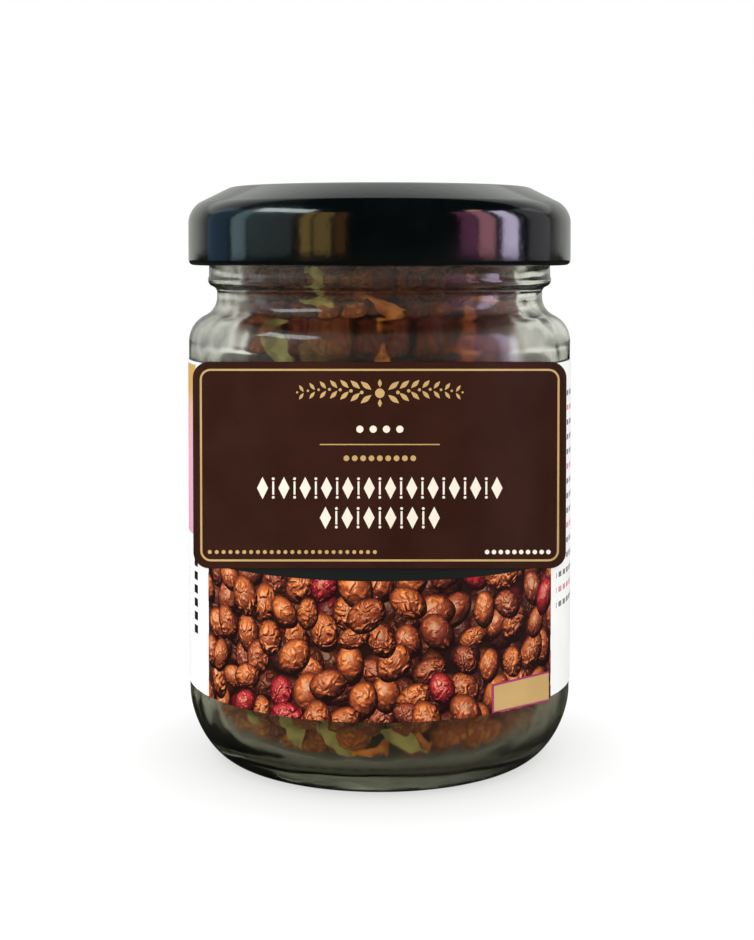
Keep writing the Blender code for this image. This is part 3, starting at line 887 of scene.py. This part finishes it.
def trim(form, half_run, low, high):
    """Cuts a flat mesh back to a rectangle."""
    for spot, out in (
        ((half_run, 0, 0), (1, 0, 0)), ((-half_run, 0, 0), (-1, 0, 0)),
        ((0, 0, low), (0, 0, -1)), ((0, 0, high), (0, 0, 1)),
    ):
        bmesh.ops.bisect_plane(
            form, geom=[*form.verts, *form.edges, *form.faces], dist=BLEED,
            plane_co=spot, plane_no=out, clear_outer=True,
        )


print_material = make_printed_berries()
print_form = print_cutouts(random.Random(PRINT_SEED))
trim(print_form, PRINT_HALF_ANGLE * DEGREE * MAP_R, WRAP_LOW + 0.00002, PRINT_HIGH / 1000)
berry_print = add_object("berry_print", bend_round(print_form, INK_R, INK_THICK), print_material)
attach(berry_print, "jar")
report_piece(berry_print)

# %% [markdown]
# The front label is a separate brown label with round corners. A thin gold line runs just inside
# its edge. Where the real one has words, this one has plain ornaments of the same colours and
# sizes: a garland of leaves, and rows of dots, diamonds and bars.

# %% Front label
FRONT_R = 0.02797
FRONT_THICK = 0.00016
FRONT_LOW = 0.03155
FRONT_HIGH = 0.0586
FRONT_HALF = 0.0243
FRONT_CORNER = 0.0021
FRAME_INSET = 0.00092
FRAME_CORNER = 0.0014
FRAME_LINE = 0.00026
FOIL_R = FRONT_R + FRONT_THICK + 0.000002
FOIL_THICK = 0.000012


def make_brown_label():
    """Dark brown paper, slightly uneven in colour and shine."""
    made, nodes, shader = new_material("brown_label", 0.5, Specular_IOR_Level=0.05)
    height, uneven = nodes.use(paper_grain, Scale=0.8)
    tint = nodes.blend(nodes.fade(uneven, 0.3, 0.7), (0.031, 0.0092, 0.0052), (0.039, 0.0120, 0.0070))
    dress(nodes, shader, tint, height, 0.18, 0.00004, nodes.fade(uneven, 0.3, 0.7, 0.40, 0.52))
    return made


def make_ink(name, light, dark, roughness):
    """Printed ink or foil: nearly even, with the paper's grain showing through."""
    made, nodes, shader = new_material(name, roughness)
    height, uneven = nodes.use(paper_grain)
    dress(nodes, shader, nodes.blend(nodes.fade(uneven, 0.3, 0.7), light, dark), height, 0.12, 0.00003)
    return made


brown_label = make_brown_label()
gold_foil = make_ink("gold_foil", (0.578, 0.376, 0.138), (0.52, 0.33, 0.115), 0.42)
cream_ink = make_ink("cream_ink", (0.90, 0.80, 0.68), (0.85, 0.75, 0.62), 0.45)

plate_form = bmesh.new()
flat_plate(plate_form, FRONT_HALF, FRONT_LOW, FRONT_HIGH, FRONT_CORNER)
label_plate = add_object("label_plate", bend_round(plate_form, FRONT_R, FRONT_THICK, True), brown_label)
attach(label_plate, "jar")
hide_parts("label_front")
report_piece(label_plate)

# %% [markdown]
# Ornaments are simple flat shapes: a dot, a diamond, a bar and a pointed leaf. Each starts from a
# circle or a grid that is stretched, and the leaf pinches its circle towards the two ends.

# %% Ornaments of the front label
GARLAND_PAIRS = 7
GARLAND_START = 0.0018
GARLAND_STEP = 0.0014
GARLAND_RISE = 0.0005
LEAF_HALF = (0.00088, 0.00034)
FRUIT_R = 0.00024
FRUIT_SHIFT = 0.00055
ROSE_R = 0.00062
ROSE_LEAF = (0.00052, 0.00026)
ROSE_LEAF_Z = 0.0013


def stamp(form, x, z, half_wide, half_high, turn=0.0, sides=24, pinch=False):
    """One flat shape: many sides make a dot, four a diamond, and a pinch makes a leaf."""
    rim = bmesh.ops.create_circle(form, cap_ends=True, segments=sides, radius=1)["verts"]
    for vert in rim:
        s, t = vert.co.x, vert.co.y
        if pinch:
            t *= 1 - abs(s) ** 1.6 * 0.75
        a, b = s * half_wide, t * half_high
        across, up = a * math.cos(turn) - b * math.sin(turn), a * math.sin(turn) + b * math.cos(turn)
        vert.co = (x + across, 0, z + up)


def bar(form, x, z, half_wide, half_high):
    """One flat bar."""
    rim = bmesh.ops.create_grid(form, x_segments=1, y_segments=1, size=1)["verts"]
    for vert in rim:
        vert.co = (x + vert.co.x * half_wide, 0, z + vert.co.y * half_high)


def frame_line(form):
    """The line inside the label's edge: a plate with its middle taken out by an inset."""
    plate = flat_plate(
        form, FRONT_HALF - FRAME_INSET, FRONT_LOW + FRAME_INSET, FRONT_HIGH - FRAME_INSET, FRAME_CORNER, 10
    )
    bmesh.ops.recalc_face_normals(form, faces=[plate])
    bmesh.ops.inset_region(form, faces=[plate], thickness=FRAME_LINE, use_boundary=True, use_even_offset=True)
    bmesh.ops.delete(form, geom=[plate], context="FACES")


def garland(form, middle):
    """Two mirrored sprays of leaves with a round fruit between the pairs."""
    for side in (-1, 1):
        for k in range(GARLAND_PAIRS):
            x = side * (GARLAND_START + GARLAND_STEP * k)
            z = middle + GARLAND_RISE * math.sin(math.pi * (k + 0.5) / GARLAND_PAIRS)
            size = 1 - 0.07 * k
            long, wide = (half * size for half in LEAF_HALF)
            for over in (-1, 1):
                lean = side * over * math.radians(38 + 3 * k)
                stamp(form, x, z + over * long, long, wide, lean, 20, True)
            stamp(form, x + side * FRUIT_SHIFT, z, FRUIT_R * size, FRUIT_R * size, 0, 16)
    stamp(form, 0, middle, ROSE_R, ROSE_R, 0, 32)
    for over in (-1, 1):
        stamp(form, 0, middle + over * ROSE_LEAF_Z, *ROSE_LEAF, math.pi / 2, 20, True)


def dot_row(form, z, width, pitch, radius, middle=0.0):
    """A row of dots on either side of its middle."""
    count = round(width / pitch)
    for k in range(count + 1):
        stamp(form, middle + width * (k / count - 0.5), z, radius, radius, 0, 12)


def band(form, z, width, height, units):
    """A band of diamonds with bars and small dots between them."""
    pitch = width / units
    for k in range(units):
        x = (k - (units - 1) / 2) * pitch
        stamp(form, x, z, pitch * 0.26, height * 0.5, 0, 4)
        if k < units - 1:
            bar(form, x + pitch / 2, z, pitch * 0.045, height * 0.30)
            for over in (-1, 1):
                stamp(form, x + pitch / 2, z + over * height * 0.42, height * 0.065, height * 0.065, 0, 10)


gold_form = bmesh.new()
frame_line(gold_form)
garland(gold_form, middle=0.0545)
bar(gold_form, x=0, z=0.0478, half_wide=0.0078, half_high=0.000075)
dot_row(gold_form, z=0.0460, width=0.0087, pitch=0.00109, radius=0.00038)
dot_row(gold_form, z=0.0337, width=0.0215, pitch=0.00090, radius=0.00026, middle=-0.0114)
gold_ornament = add_object("gold_ornament", bend_round(gold_form, FOIL_R, FOIL_THICK, True), gold_foil)

cream_form = bmesh.new()
dot_row(cream_form, z=0.0498, width=0.0052, pitch=0.00173, radius=0.00048)
band(cream_form, z=0.0421, width=0.0333, height=0.0029, units=12)
band(cream_form, z=0.0382, width=0.0170, height=0.0029, units=6)
dot_row(cream_form, z=0.0337, width=0.0080, pitch=0.00089, radius=0.00030, middle=0.0180)
cream_ornament = add_object("cream_ornament", bend_round(cream_form, FOIL_R, FOIL_THICK, True), cream_ink)

for ornament in (gold_ornament, cream_ornament):
    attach(ornament, "jar")
    report_piece(ornament)

# %% [markdown]
# A small blank gold sticker covers the lower right corner of the berry picture. Its edge shows a
# thin magenta line, where the colour under it was cut a little larger.

# %% Gold sticker
STICKER_R = INK_R + 0.00008
STICKER_THICK = 0.00003
STICKER_CORNERS = (
    (0.0150, 0.01265, -1, -1), (0.02218, 0.0143, 0.2, -1),
    (0.02218, 0.01775, 0.2, 1), (0.0150, 0.0160, -1, 1),
)


def sticker(name, grow, radius, material):
    form = bmesh.new()
    corners = [form.verts.new((x + a * grow, 0, z + b * grow)) for x, z, a, b in STICKER_CORNERS]
    form.faces.new(corners)
    made = add_object(name, bend_round(form, radius, STICKER_THICK, True), material)
    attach(made, "jar")
    report_piece(made)


magenta_ink = make_ink("magenta_ink", (0.42, 0.02, 0.14), (0.34, 0.015, 0.11), 0.45)
sticker("sticker_edge", 0.00024, STICKER_R, magenta_ink)
sticker("gold_sticker", 0.0, STICKER_R + STICKER_THICK + 0.000002, gold_foil)

# %% [markdown]
# The berries themselves show through the glass above and below the label and at its gap. A dried
# berry starts as a sphere of few faces. Every second meridian is drawn in to make the long folds,
# and a little noise makes each one different. The berries lie against the glass in loose rows, with
# more behind them, and a dark core fills what nobody sees.

# %% Finishes of the filling


def make_berry_skin():
    """A dried skin: dark in its folds, partly its own colour and partly painted shade, and brighter and
    glossier on their crests.
    """
    made, nodes, shader = new_material("berry_skin", 0.42, Specular_IOR_Level=0.3)
    x, y, z = nodes.attribute("berry_place")
    tone, seed, _ = nodes.attribute("berry_look")
    around = nodes.vector("NORMALIZE", {0: nodes.combine(x, y)})[0]
    skin = nodes.use(dried_wrinkles, Around=around, Along=z, Seed=seed, Folds=1.4)
    dark = nodes.blend(tone, (0.09, 0.014, 0.006), (0.46, 0.090, 0.013))
    bright = nodes.blend(tone, (0.26, 0.045, 0.018), (0.95, 0.38, 0.055))
    mottle = nodes.fade(skin["Mottle"], 0.45, 0.75, 0.0, 0.6)
    # The blend by fold height darkens the folds: partly the skin's own colour, partly painted shade.
    base = nodes.blend(mottle, nodes.blend(skin["Height"], dark, bright), (0.75, 0.45, 0.35), "MULTIPLY")
    dress(nodes, shader, base, skin["Height"], 0.9, 0.00035, nodes.fade(skin["Height"], 0.0, 1.0, 0.6, 0.36))
    return made


def make_scrap(name, light, dark, roughness):
    """Dry leaf, torn skin, and the pile's painted shade: blotched, with fine specks in its relief."""
    made, nodes, shader = new_material(name, roughness)
    wear = nodes.use(surface_wear, Broad_Scale=420.0, Fine_Scale=2400.0)
    dress(nodes, shader, nodes.blend(wear["Smudge"], light, dark), wear["Speck"], 0.5, 0.0001)
    return made


berry_skin = make_berry_skin()
leaf_scrap = make_scrap("leaf_scrap", (0.56, 0.47, 0.13), (0.30, 0.25, 0.07), 0.6)
torn_skin = make_scrap("torn_skin", (0.86, 0.27, 0.03), (0.50, 0.10, 0.015), 0.35)
# pile_shade is painted shade: a near-black brown for the inside of the pile, where the berries lie in shadow.
pile_shade = make_scrap("pile_shade", (0.060, 0.016, 0.008), (0.030, 0.008, 0.004), 0.8)

# %% Places on the filling
FILL_Z = 0.0728
PILE_SHOULDER_Z = 0.0500
PILE_NECK_Z = 0.0570
PILE_NECK_R = 0.0208
BERRY_HALF = (0.0022, 0.0020, 0.0027)
CLEARANCE = 0.00035
ROW_PITCH = 0.0037
BERRY_PITCH = 0.0041
WINDOW_LOW = 0.0140
WINDOW_HIGH = 0.0530
GAP_HALF_ANGLE = 13
FILL_SEED = 21
PAINTED_LIGHT_BELOW_Z = 0.03
BERRY_LAYERS = ((0.0, 1.0), (0.0034, 0.8))
FOLD_DEPTH = (0.04, 0.13)
BERRY_CRUMPLE = 0.16
SCRAP_ROOM = 0.0021
LEAF_SPOTS = (
    (-24, 0.0696, 20), (-25, 0.0660, 80), (-46, 0.0600, 60), (-30, 0.0077, 10), (6, 0.0070, 70),
    (-15, 0.0068, 30), (-46, 0.0105, 40), (120, 0.0648, 15), (200, 0.0668, 90), (165, 0.0090, 40),
    (-120, 0.0082, 0),
)
SKIN_SPOTS = (
    (0, 0.0654, 40), (4, 0.0630, 110), (38, 0.0630, 20), (45, 0.0664, 80), (1, 0.0588, 0),
    (36, 0.0592, 60), (13, 0.0066, 30), (-3, 0.0048, 80), (100, 0.0630, 10), (-100, 0.0650, 50),
    (150, 0.0610, 95),
)


def hollow_outline():
    """Up the glass, in under the shoulder, where no berry rolls to, and then over the top of the pile."""
    wall = [p for p in jar_inside(2) if p[1] < PILE_SHOULDER_Z]
    wall += [(GLASS_R - WALL, PILE_SHOULDER_Z), (PILE_NECK_R, PILE_NECK_Z), (PILE_NECK_R, FILL_Z)]
    return wall, [(PILE_NECK_R - 0.0020, FILL_Z + 0.0012), (0, FILL_Z + 0.0022)]


def resampled(points, pitch):
    """Points at an even spacing along a line, each with the direction in which the line runs there."""
    lengths = [0.0]
    for a, b in zip(points, points[1:]):
        lengths.append(lengths[-1] + math.dist(a, b))
    count = round(lengths[-1] / pitch)
    spots, k = [], 0
    for i in range(count + 1):
        run = lengths[-1] * i / count
        while lengths[k + 1] < run - 1e-9 and k < len(points) - 2:
            k += 1
        share = (run - lengths[k]) / (lengths[k + 1] - lengths[k])
        along = Vector(points[k + 1]) - Vector(points[k])
        spots.append((*Vector(points[k]).lerp(Vector(points[k + 1]), share), along.normalized()))
    return spots


def is_seen(z, angle):
    """Whether a place on the filling can be seen past the labels; the angle is from the front."""
    at_gap = abs(abs(angle) - 180) < GAP_HALF_ANGLE
    return z < WINDOW_LOW or z > WINDOW_HIGH or at_gap


def layer_spots(draw, depth):
    """Places for one layer: the point on the wall, the way out of it, and the angle from the front."""
    wall, top = hollow_outline()
    places = []
    for r, z, along in resampled(wall + top, ROW_PITCH):
        out = Vector((along.y, -along.x))
        inner = (r - out.x * depth, z - out.y * depth)
        around = max(1, round(2 * math.pi * max(inner[0], 0) / BERRY_PITCH))
        start = draw.random()
        for k in range(around):
            angle = (360 * (k + start + draw.uniform(-0.25, 0.25)) / around) % 360 - 180
            places.append((Vector(inner), out, angle))
    return places


def is_by_scrap(spot, angle):
    """Whether a leaf or a torn skin needs the room here."""
    for scrap_angle, height, _ in LEAF_SPOTS + SKIN_SPOTS:
        across = math.radians((angle - scrap_angle + 180) % 360 - 180) * spot.x
        if math.hypot(across, spot.y - height) < SCRAP_ROOM:
            return True
    return False


def dried_berry(where, half, tone, draw, material):
    """One berry of few faces: a sphere with alternate meridians drawn in."""
    seed = draw.uniform(0, 90)
    depth = draw.uniform(*FOLD_DEPTH)
    form = bmesh.new()
    place = form.verts.layers.float_vector.new("berry_place")
    look = form.verts.layers.float_vector.new("berry_look")
    bmesh.ops.create_uvsphere(form, u_segments=12, v_segments=7, radius=1)
    for vert in form.verts:
        unit = vert.co.copy()
        fold = round(math.atan2(unit.y, unit.x) / (math.pi / 6)) % 2
        crumple = BERRY_CRUMPLE * noise.noise(unit * 1.3 + Vector((seed, 0, 0)))
        scale = 1 - depth * fold * (1 - unit.z ** 2) + crumple
        vert[place] = unit
        vert[look] = (tone, seed, 0)
        vert.co = where @ (unit * Vector(half) * scale)
    return add_object("berry", form, material, 80)


def join_all(name, parts):
    """Joins many small objects into one; this is much faster than growing one large bmesh."""
    with bpy.context.temp_override(active_object=parts[0], selected_editable_objects=parts):
        bpy.ops.object.join()
    parts[0].name = parts[0].data.name = name
    return parts[0]


def on_wall(spot, out, angle):
    """A point of the wall and the way out of it, both turned round the jar by an angle."""
    return [turn_about("Z", angle) @ Vector((0, -flat.x, flat.y)) for flat in (spot, out)]


def lay_against(out, spot, angle, half, draw):
    """A random pose whose berry just clears the wall behind it."""
    wall_point, facing = on_wall(spot, out, angle)
    tilt = draw.gauss(0, 0.35)
    roll = draw.uniform(0, math.pi)
    basis = facing.to_track_quat("X", "Z").to_matrix()
    pose = basis @ Matrix.Rotation(roll, 3, "X") @ Matrix.Rotation(tilt, 3, "Y")
    pose = pose @ Matrix.Rotation(draw.uniform(0, 6.28), 3, "Z")
    thickness = math.sqrt(sum((pose.col[i].dot(facing) * half[i]) ** 2 for i in range(3)))
    centre = wall_point - facing * (thickness + CLEARANCE)
    return Matrix.Translation(centre) @ pose.to_4x4()


# %% Berries
def make_berry_pile(material):
    """All the berries that can be seen, in two layers, as one piece."""
    draw = random.Random(FILL_SEED)
    berries = []
    for depth, share in BERRY_LAYERS:
        for spot, out, angle in layer_spots(draw, depth):
            scale = draw.uniform(0.82, 1.12)
            half = [h * scale for h in BERRY_HALF]
            tone = draw.random() ** 1.4
            chance = draw.random()
            if not is_seen(spot.y, angle) or chance > share or spot.x < 0.001:
                continue
            if depth == 0.0 and is_by_scrap(spot, angle):
                continue
            # Painted light: berries low in the jar get lighter tones. Painted shade: berries above the label,
            # under the shoulder and lid, get darker tones.
            if spot.y < PAINTED_LIGHT_BELOW_Z:
                tone = tone ** 0.5
            if spot.y > WINDOW_HIGH:
                tone = 0.75 * tone ** 1.6
            where = lay_against(out, spot, angle, half, draw)
            berries.append(dried_berry(where, half, tone, draw, material))
    print("berries:", len(berries))
    return join_all("berry_pile", berries)


berry_pile = make_berry_pile(berry_skin)
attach(berry_pile, "jar")
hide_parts("dried_berries")
report_piece(berry_pile)

# %% The dark core behind them, its colour painted shade
CORE_DEPTH = 0.0042
CORE_PITCH = 0.0022
CORE_UNEVEN = 0.0006


def core_profile():
    """The hollow's outline drawn in by a fixed depth, and closed over its top."""
    wall, top = hollow_outline()
    line = [(r, z) for r, z, _ in resampled(wall + top, CORE_PITCH)]
    inner = [(max(r, 0.0), z) for r, z in offset_line(line, -CORE_DEPTH)]
    inner[0] = (0, inner[1][1])
    inner[-1] = (0, inner[-2][1])
    return inner


core_form = turned(core_profile(), 48)
for vert in core_form.verts:
    vert.co += vert.co.normalized() * CORE_UNEVEN * noise.noise(vert.co * 420)
pile_core = add_object("pile_core", core_form, pile_shade, 80)
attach(pile_core, "jar")
report_piece(pile_core)

# %% [markdown]
# Scraps of dry leaf and torn skin lie among the berries, as they do in any sack of dried fruit. Each
# is a small sheet, folded and curled, with its thickness added last.

# %% Leaf scraps and torn skins
SCRAP_CRUMPLE = 0.0009
SCRAP_RAGGED = 0.22
SCRAP_BOW = 0.22
SCRAP_FOLD = 0.75
SCRAP_DEPTH = 0.0008
SCRAP_THICK = 0.00014


def wall_at(height):
    """The point of the inner wall nearest to a height, and the way out of it."""
    wall, _ = hollow_outline()
    r, z, along = min(resampled(wall, 0.0005), key=lambda spot: abs(spot[1] - height))
    return Vector((r, z)), Vector((along.y, -along.x))


def crumpled_sheet(form, where, size, pointed, draw):
    """A small sheet, folded lengthwise and crumpled; a leaf tapers at both ends, a shard at one."""
    length, width = size
    seed = draw.uniform(0, 50)
    made = bmesh.ops.create_grid(form, x_segments=12, y_segments=8, size=1)["verts"]
    for vert in made:
        s, t = vert.co.x, vert.co.y
        taper = 1 - 0.82 * abs(s) ** 1.6 if pointed == 2 else 0.12 + 0.88 * (1 - s) / 2
        crease = -SCRAP_FOLD * abs(t) * width * taper
        crumple = SCRAP_CRUMPLE * noise.noise(Vector((s * 1.7, t * 1.7, seed)))
        bow = -SCRAP_BOW * length * s * s
        ragged = 1 + SCRAP_RAGGED * noise.noise(Vector((s * 2.4, t * 2.4, seed + 9)))
        vert.co = where @ Vector((crease + bow + crumple, t * width * taper * ragged, s * length * ragged))


def make_scraps(spots, size, pointed, seed):
    draw = random.Random(seed)
    form = bmesh.new()
    for angle, height, turn in spots:
        wall_point, facing = on_wall(*wall_at(height), angle)
        basis = facing.to_track_quat("X", "Z").to_matrix() @ turn_about("X", turn)
        basis = basis @ Matrix.Rotation(draw.gauss(0, 0.25), 3, "Y")
        basis = basis @ Matrix.Rotation(draw.gauss(0, 0.3), 3, "Z")
        where = Matrix.Translation(wall_point - facing * SCRAP_DEPTH) @ basis.to_4x4()
        scale = draw.uniform(0.85, 1.15)
        crumpled_sheet(form, where, [scale * half for half in size], pointed, draw)
    bmesh.ops.solidify(form, geom=list(form.faces), thickness=SCRAP_THICK)
    bmesh.ops.recalc_face_normals(form, faces=form.faces)
    return form


for name, spots, size, pointed, seed, material in (
    ("leaf_scraps", LEAF_SPOTS, (0.0030, 0.0018), 2, 3, leaf_scrap),
    ("torn_skins", SKIN_SPOTS, (0.0021, 0.0015), 1, 5, torn_skin),
):
    scraps = add_object(name, make_scraps(spots, size, pointed, seed), material, 60)
    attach(scraps, "jar")
    report_piece(scraps)

# %% [markdown]
# The jar stands on a plain white floor under soft light. The camera sees the floor as nearly white
# with a faint shadow round the base, which is mostly a painted shadow and partly real. The glass sees it
# darker, because a white floor mirrored in the heel would wash out the dark base that the photograph shows.

# %% Floor
FLOOR_HALF = 1.5
# A painted shadow round the base: the floor's glow by distance from the jar's axis, in tenths of a metre.
PAINTED_SHADOW_ROUND_BASE = [
    (0.20, (0.62, 0.62, 0.61)), (0.25, (0.85, 0.85, 0.84)), (0.30, (0.90, 0.90, 0.895)),
    (0.36, (0.96, 0.96, 0.955)), (0.42, (1.0, 1.0, 1.0)),
]


def make_studio_floor():
    """Pale for the camera, with a painted soft shadow round the base over a little real shadow; bright for
    the paper, dark for the glass.
    """
    made, nodes, shader = new_material("studio_floor", 0.9, Specular_IOR_Level=0.0)
    path = nodes.add("LightPath")
    away = nodes.vector("LENGTH", {0: nodes.place()})["Value"]
    through_glass = nodes.blend(nodes.fade(away, 0.10, 0.35), (0.21, 0.207, 0.150), (0.62, 0.62, 0.55))
    base = nodes.blend(path["Is Transmission Ray"], (0.015, 0.016, 0.013), through_glass)
    base = nodes.blend(path["Is Diffuse Ray"], base, (0.60, 0.60, 0.58))
    nodes.feed(shader, {"Base Color": nodes.blend(path["Is Camera Ray"], base, (0.96, 0.96, 0.96))})
    # Painted shadow: the glow the camera sees is darker close to the base and fades to white further out.
    painted_shadow_glow = nodes.ramp(nodes.times(away, 10.0), PAINTED_SHADOW_ROUND_BASE)
    white = nodes.add("Emission", {"Color": painted_shadow_glow, "Strength": 1.0})[0]
    share = nodes.times(nodes.fade(away, 0.025, 0.10, 0.86, 1.0), path["Is Camera Ray"])
    mixed = nodes.add("MixShader", {0: share, 1: shader.outputs[0], 2: white})[0]
    nodes.feed(made.node_tree.nodes["Material Output"], {"Surface": mixed})
    return made


floor_form = bmesh.new()
bmesh.ops.create_grid(floor_form, x_segments=1, y_segments=1, size=FLOOR_HALF)
studio_floor = add_object("studio_floor", floor_form, make_studio_floor())

# %% Lights


def build_world():
    """White behind the jar for the camera. Glass and lacquer mirror a room that is dark in front."""
    world = bpy.data.worlds.new("studio")
    world.use_nodes = True
    nodes = Nodes(world.node_tree)
    path = nodes.add("LightPath")
    _, behind, height = nodes.split(nodes.add("TexCoord")["Generated"])
    mirrored = nodes.blend(nodes.fade(behind, 0.42, 0.80), (0.004, 0.006, 0.006), (0.42, 0.43, 0.40))
    window = nodes.blend(nodes.fade(height, 0.10, 0.36, 1.0, 0.25), (0, 0, 0), (1.0, 1.0, 0.90))
    through = nodes.blend(nodes.fade(behind, -0.2, 0.8), (0.42, 0.43, 0.37), window)
    seen = nodes.blend(path["Is Transmission Ray"], mirrored, through)
    seen = nodes.blend(path["Is Diffuse Ray"], seen, (0.80, 0.80, 0.80))
    seen = nodes.blend(path["Is Camera Ray"], seen, (1, 1, 1))
    nodes.feed(world.node_tree.nodes["Background"], {"Color": seen})
    bpy.context.scene.world = world


def area_light(name, place, size, radiance, colour, for_gloss, target=(0, 0, 0.04)):
    """A rectangle of light, either for the matt surfaces or only for what is mirrored."""
    lamp = bpy.data.lights.new(name, "AREA")
    lamp.shape = "RECTANGLE"
    lamp.size, lamp.size_y = size
    lamp.energy = radiance * math.pi * size[0] * size[1]
    lamp.color = colour
    made = bpy.data.objects.new(name, lamp)
    made.location = place
    made.rotation_mode = "QUATERNION"
    made.rotation_quaternion = (Vector(target) - Vector(place)).to_track_quat("-Z", "Y")
    made.visible_camera = False
    made.visible_transmission = False
    made.visible_glossy = for_gloss
    made.visible_diffuse = not for_gloss
    bpy.context.scene.collection.objects.link(made)


SOFTBOXES = (
    ("overhead_softbox", (0, 0.05, 0.75), (0.9, 0.7), 2.6, (1, 1, 1), False),
    ("front_softbox", (-0.30, -0.75, 0.50), (0.6, 0.5), 2.6, (1, 1, 1), False),
    ("left_softbox", (-0.60, -0.05, 0.10), (0.5, 0.5), 1.85, (1, 1, 1), False),
    ("right_softbox", (0.60, -0.05, 0.10), (0.5, 0.5), 1.7, (1, 1, 1), False),
    ("ceiling_mirrored", (0, 0.52, 0.62), (2.2, 0.5), 0.27, (0.94, 1.0, 0.97), True),
    ("window_mirrored", (-0.50, -0.22, 0.52), (0.42, 0.15), 5.0, (0.88, 1.0, 1.0), True),
    ("peach_mirrored", (0.46, -0.22, 0.47), (0.10, 0.05), 4.0, (1.0, 0.55, 0.45), True),
)
STRIP_DISTANCE = 0.5
STRIP_LOW = 0.03
STRIP_HIGH = 0.42
STRIPS = (
    ("gold_strip", -42.5, 6, 1.3, (1.0, 0.66, 0.20)),
    ("olive_strip", -32.5, 10, 1.0, (1.0, 0.66, 0.20)),
    ("amber_strip", -22.0, 6, 0.4, (1.0, 0.45, 0.12)),
    ("grey_strip", -66.0, 30, 0.26, (0.75, 1.0, 1.0)),
    ("blue_strip", -89.0, 12, 1.0, (0.60, 0.90, 1.0)),
    ("night_strip", -109.0, 22, 0.25, (0.30, 0.62, 1.0)),
    ("purple_strip", 51.5, 10, 0.9, (0.80, 0.24, 0.52)),
    ("rose_strip", 63.5, 11, 2.3, (1.0, 0.42, 0.52)),
    ("lavender_strip", 80.5, 12, 5.0, (0.82, 0.72, 1.0)),
    ("right_grey_strip", 107.0, 22, 0.28, (0.98, 0.96, 1.0)),
)


def strip_light(name, azimuth, width, radiance, colour):
    """A soft upright strip, mirrored in lid and glass; its azimuth is from the front in degrees."""
    turn = math.radians(azimuth)
    middle = (STRIP_LOW + STRIP_HIGH) / 2
    place = (STRIP_DISTANCE * math.sin(turn), -STRIP_DISTANCE * math.cos(turn), middle)
    across = 2 * STRIP_DISTANCE * math.tan(math.radians(width) / 2)
    area_light(name, place, (across, STRIP_HIGH - STRIP_LOW), radiance, colour, True, (0, 0, middle))


build_world()
for softbox in SOFTBOXES:
    area_light(*softbox)
for strip in STRIPS:
    strip_light(*strip)
print("lights:", len(bpy.data.lights))
bpy.context.scene.view_settings.view_transform = "Standard"
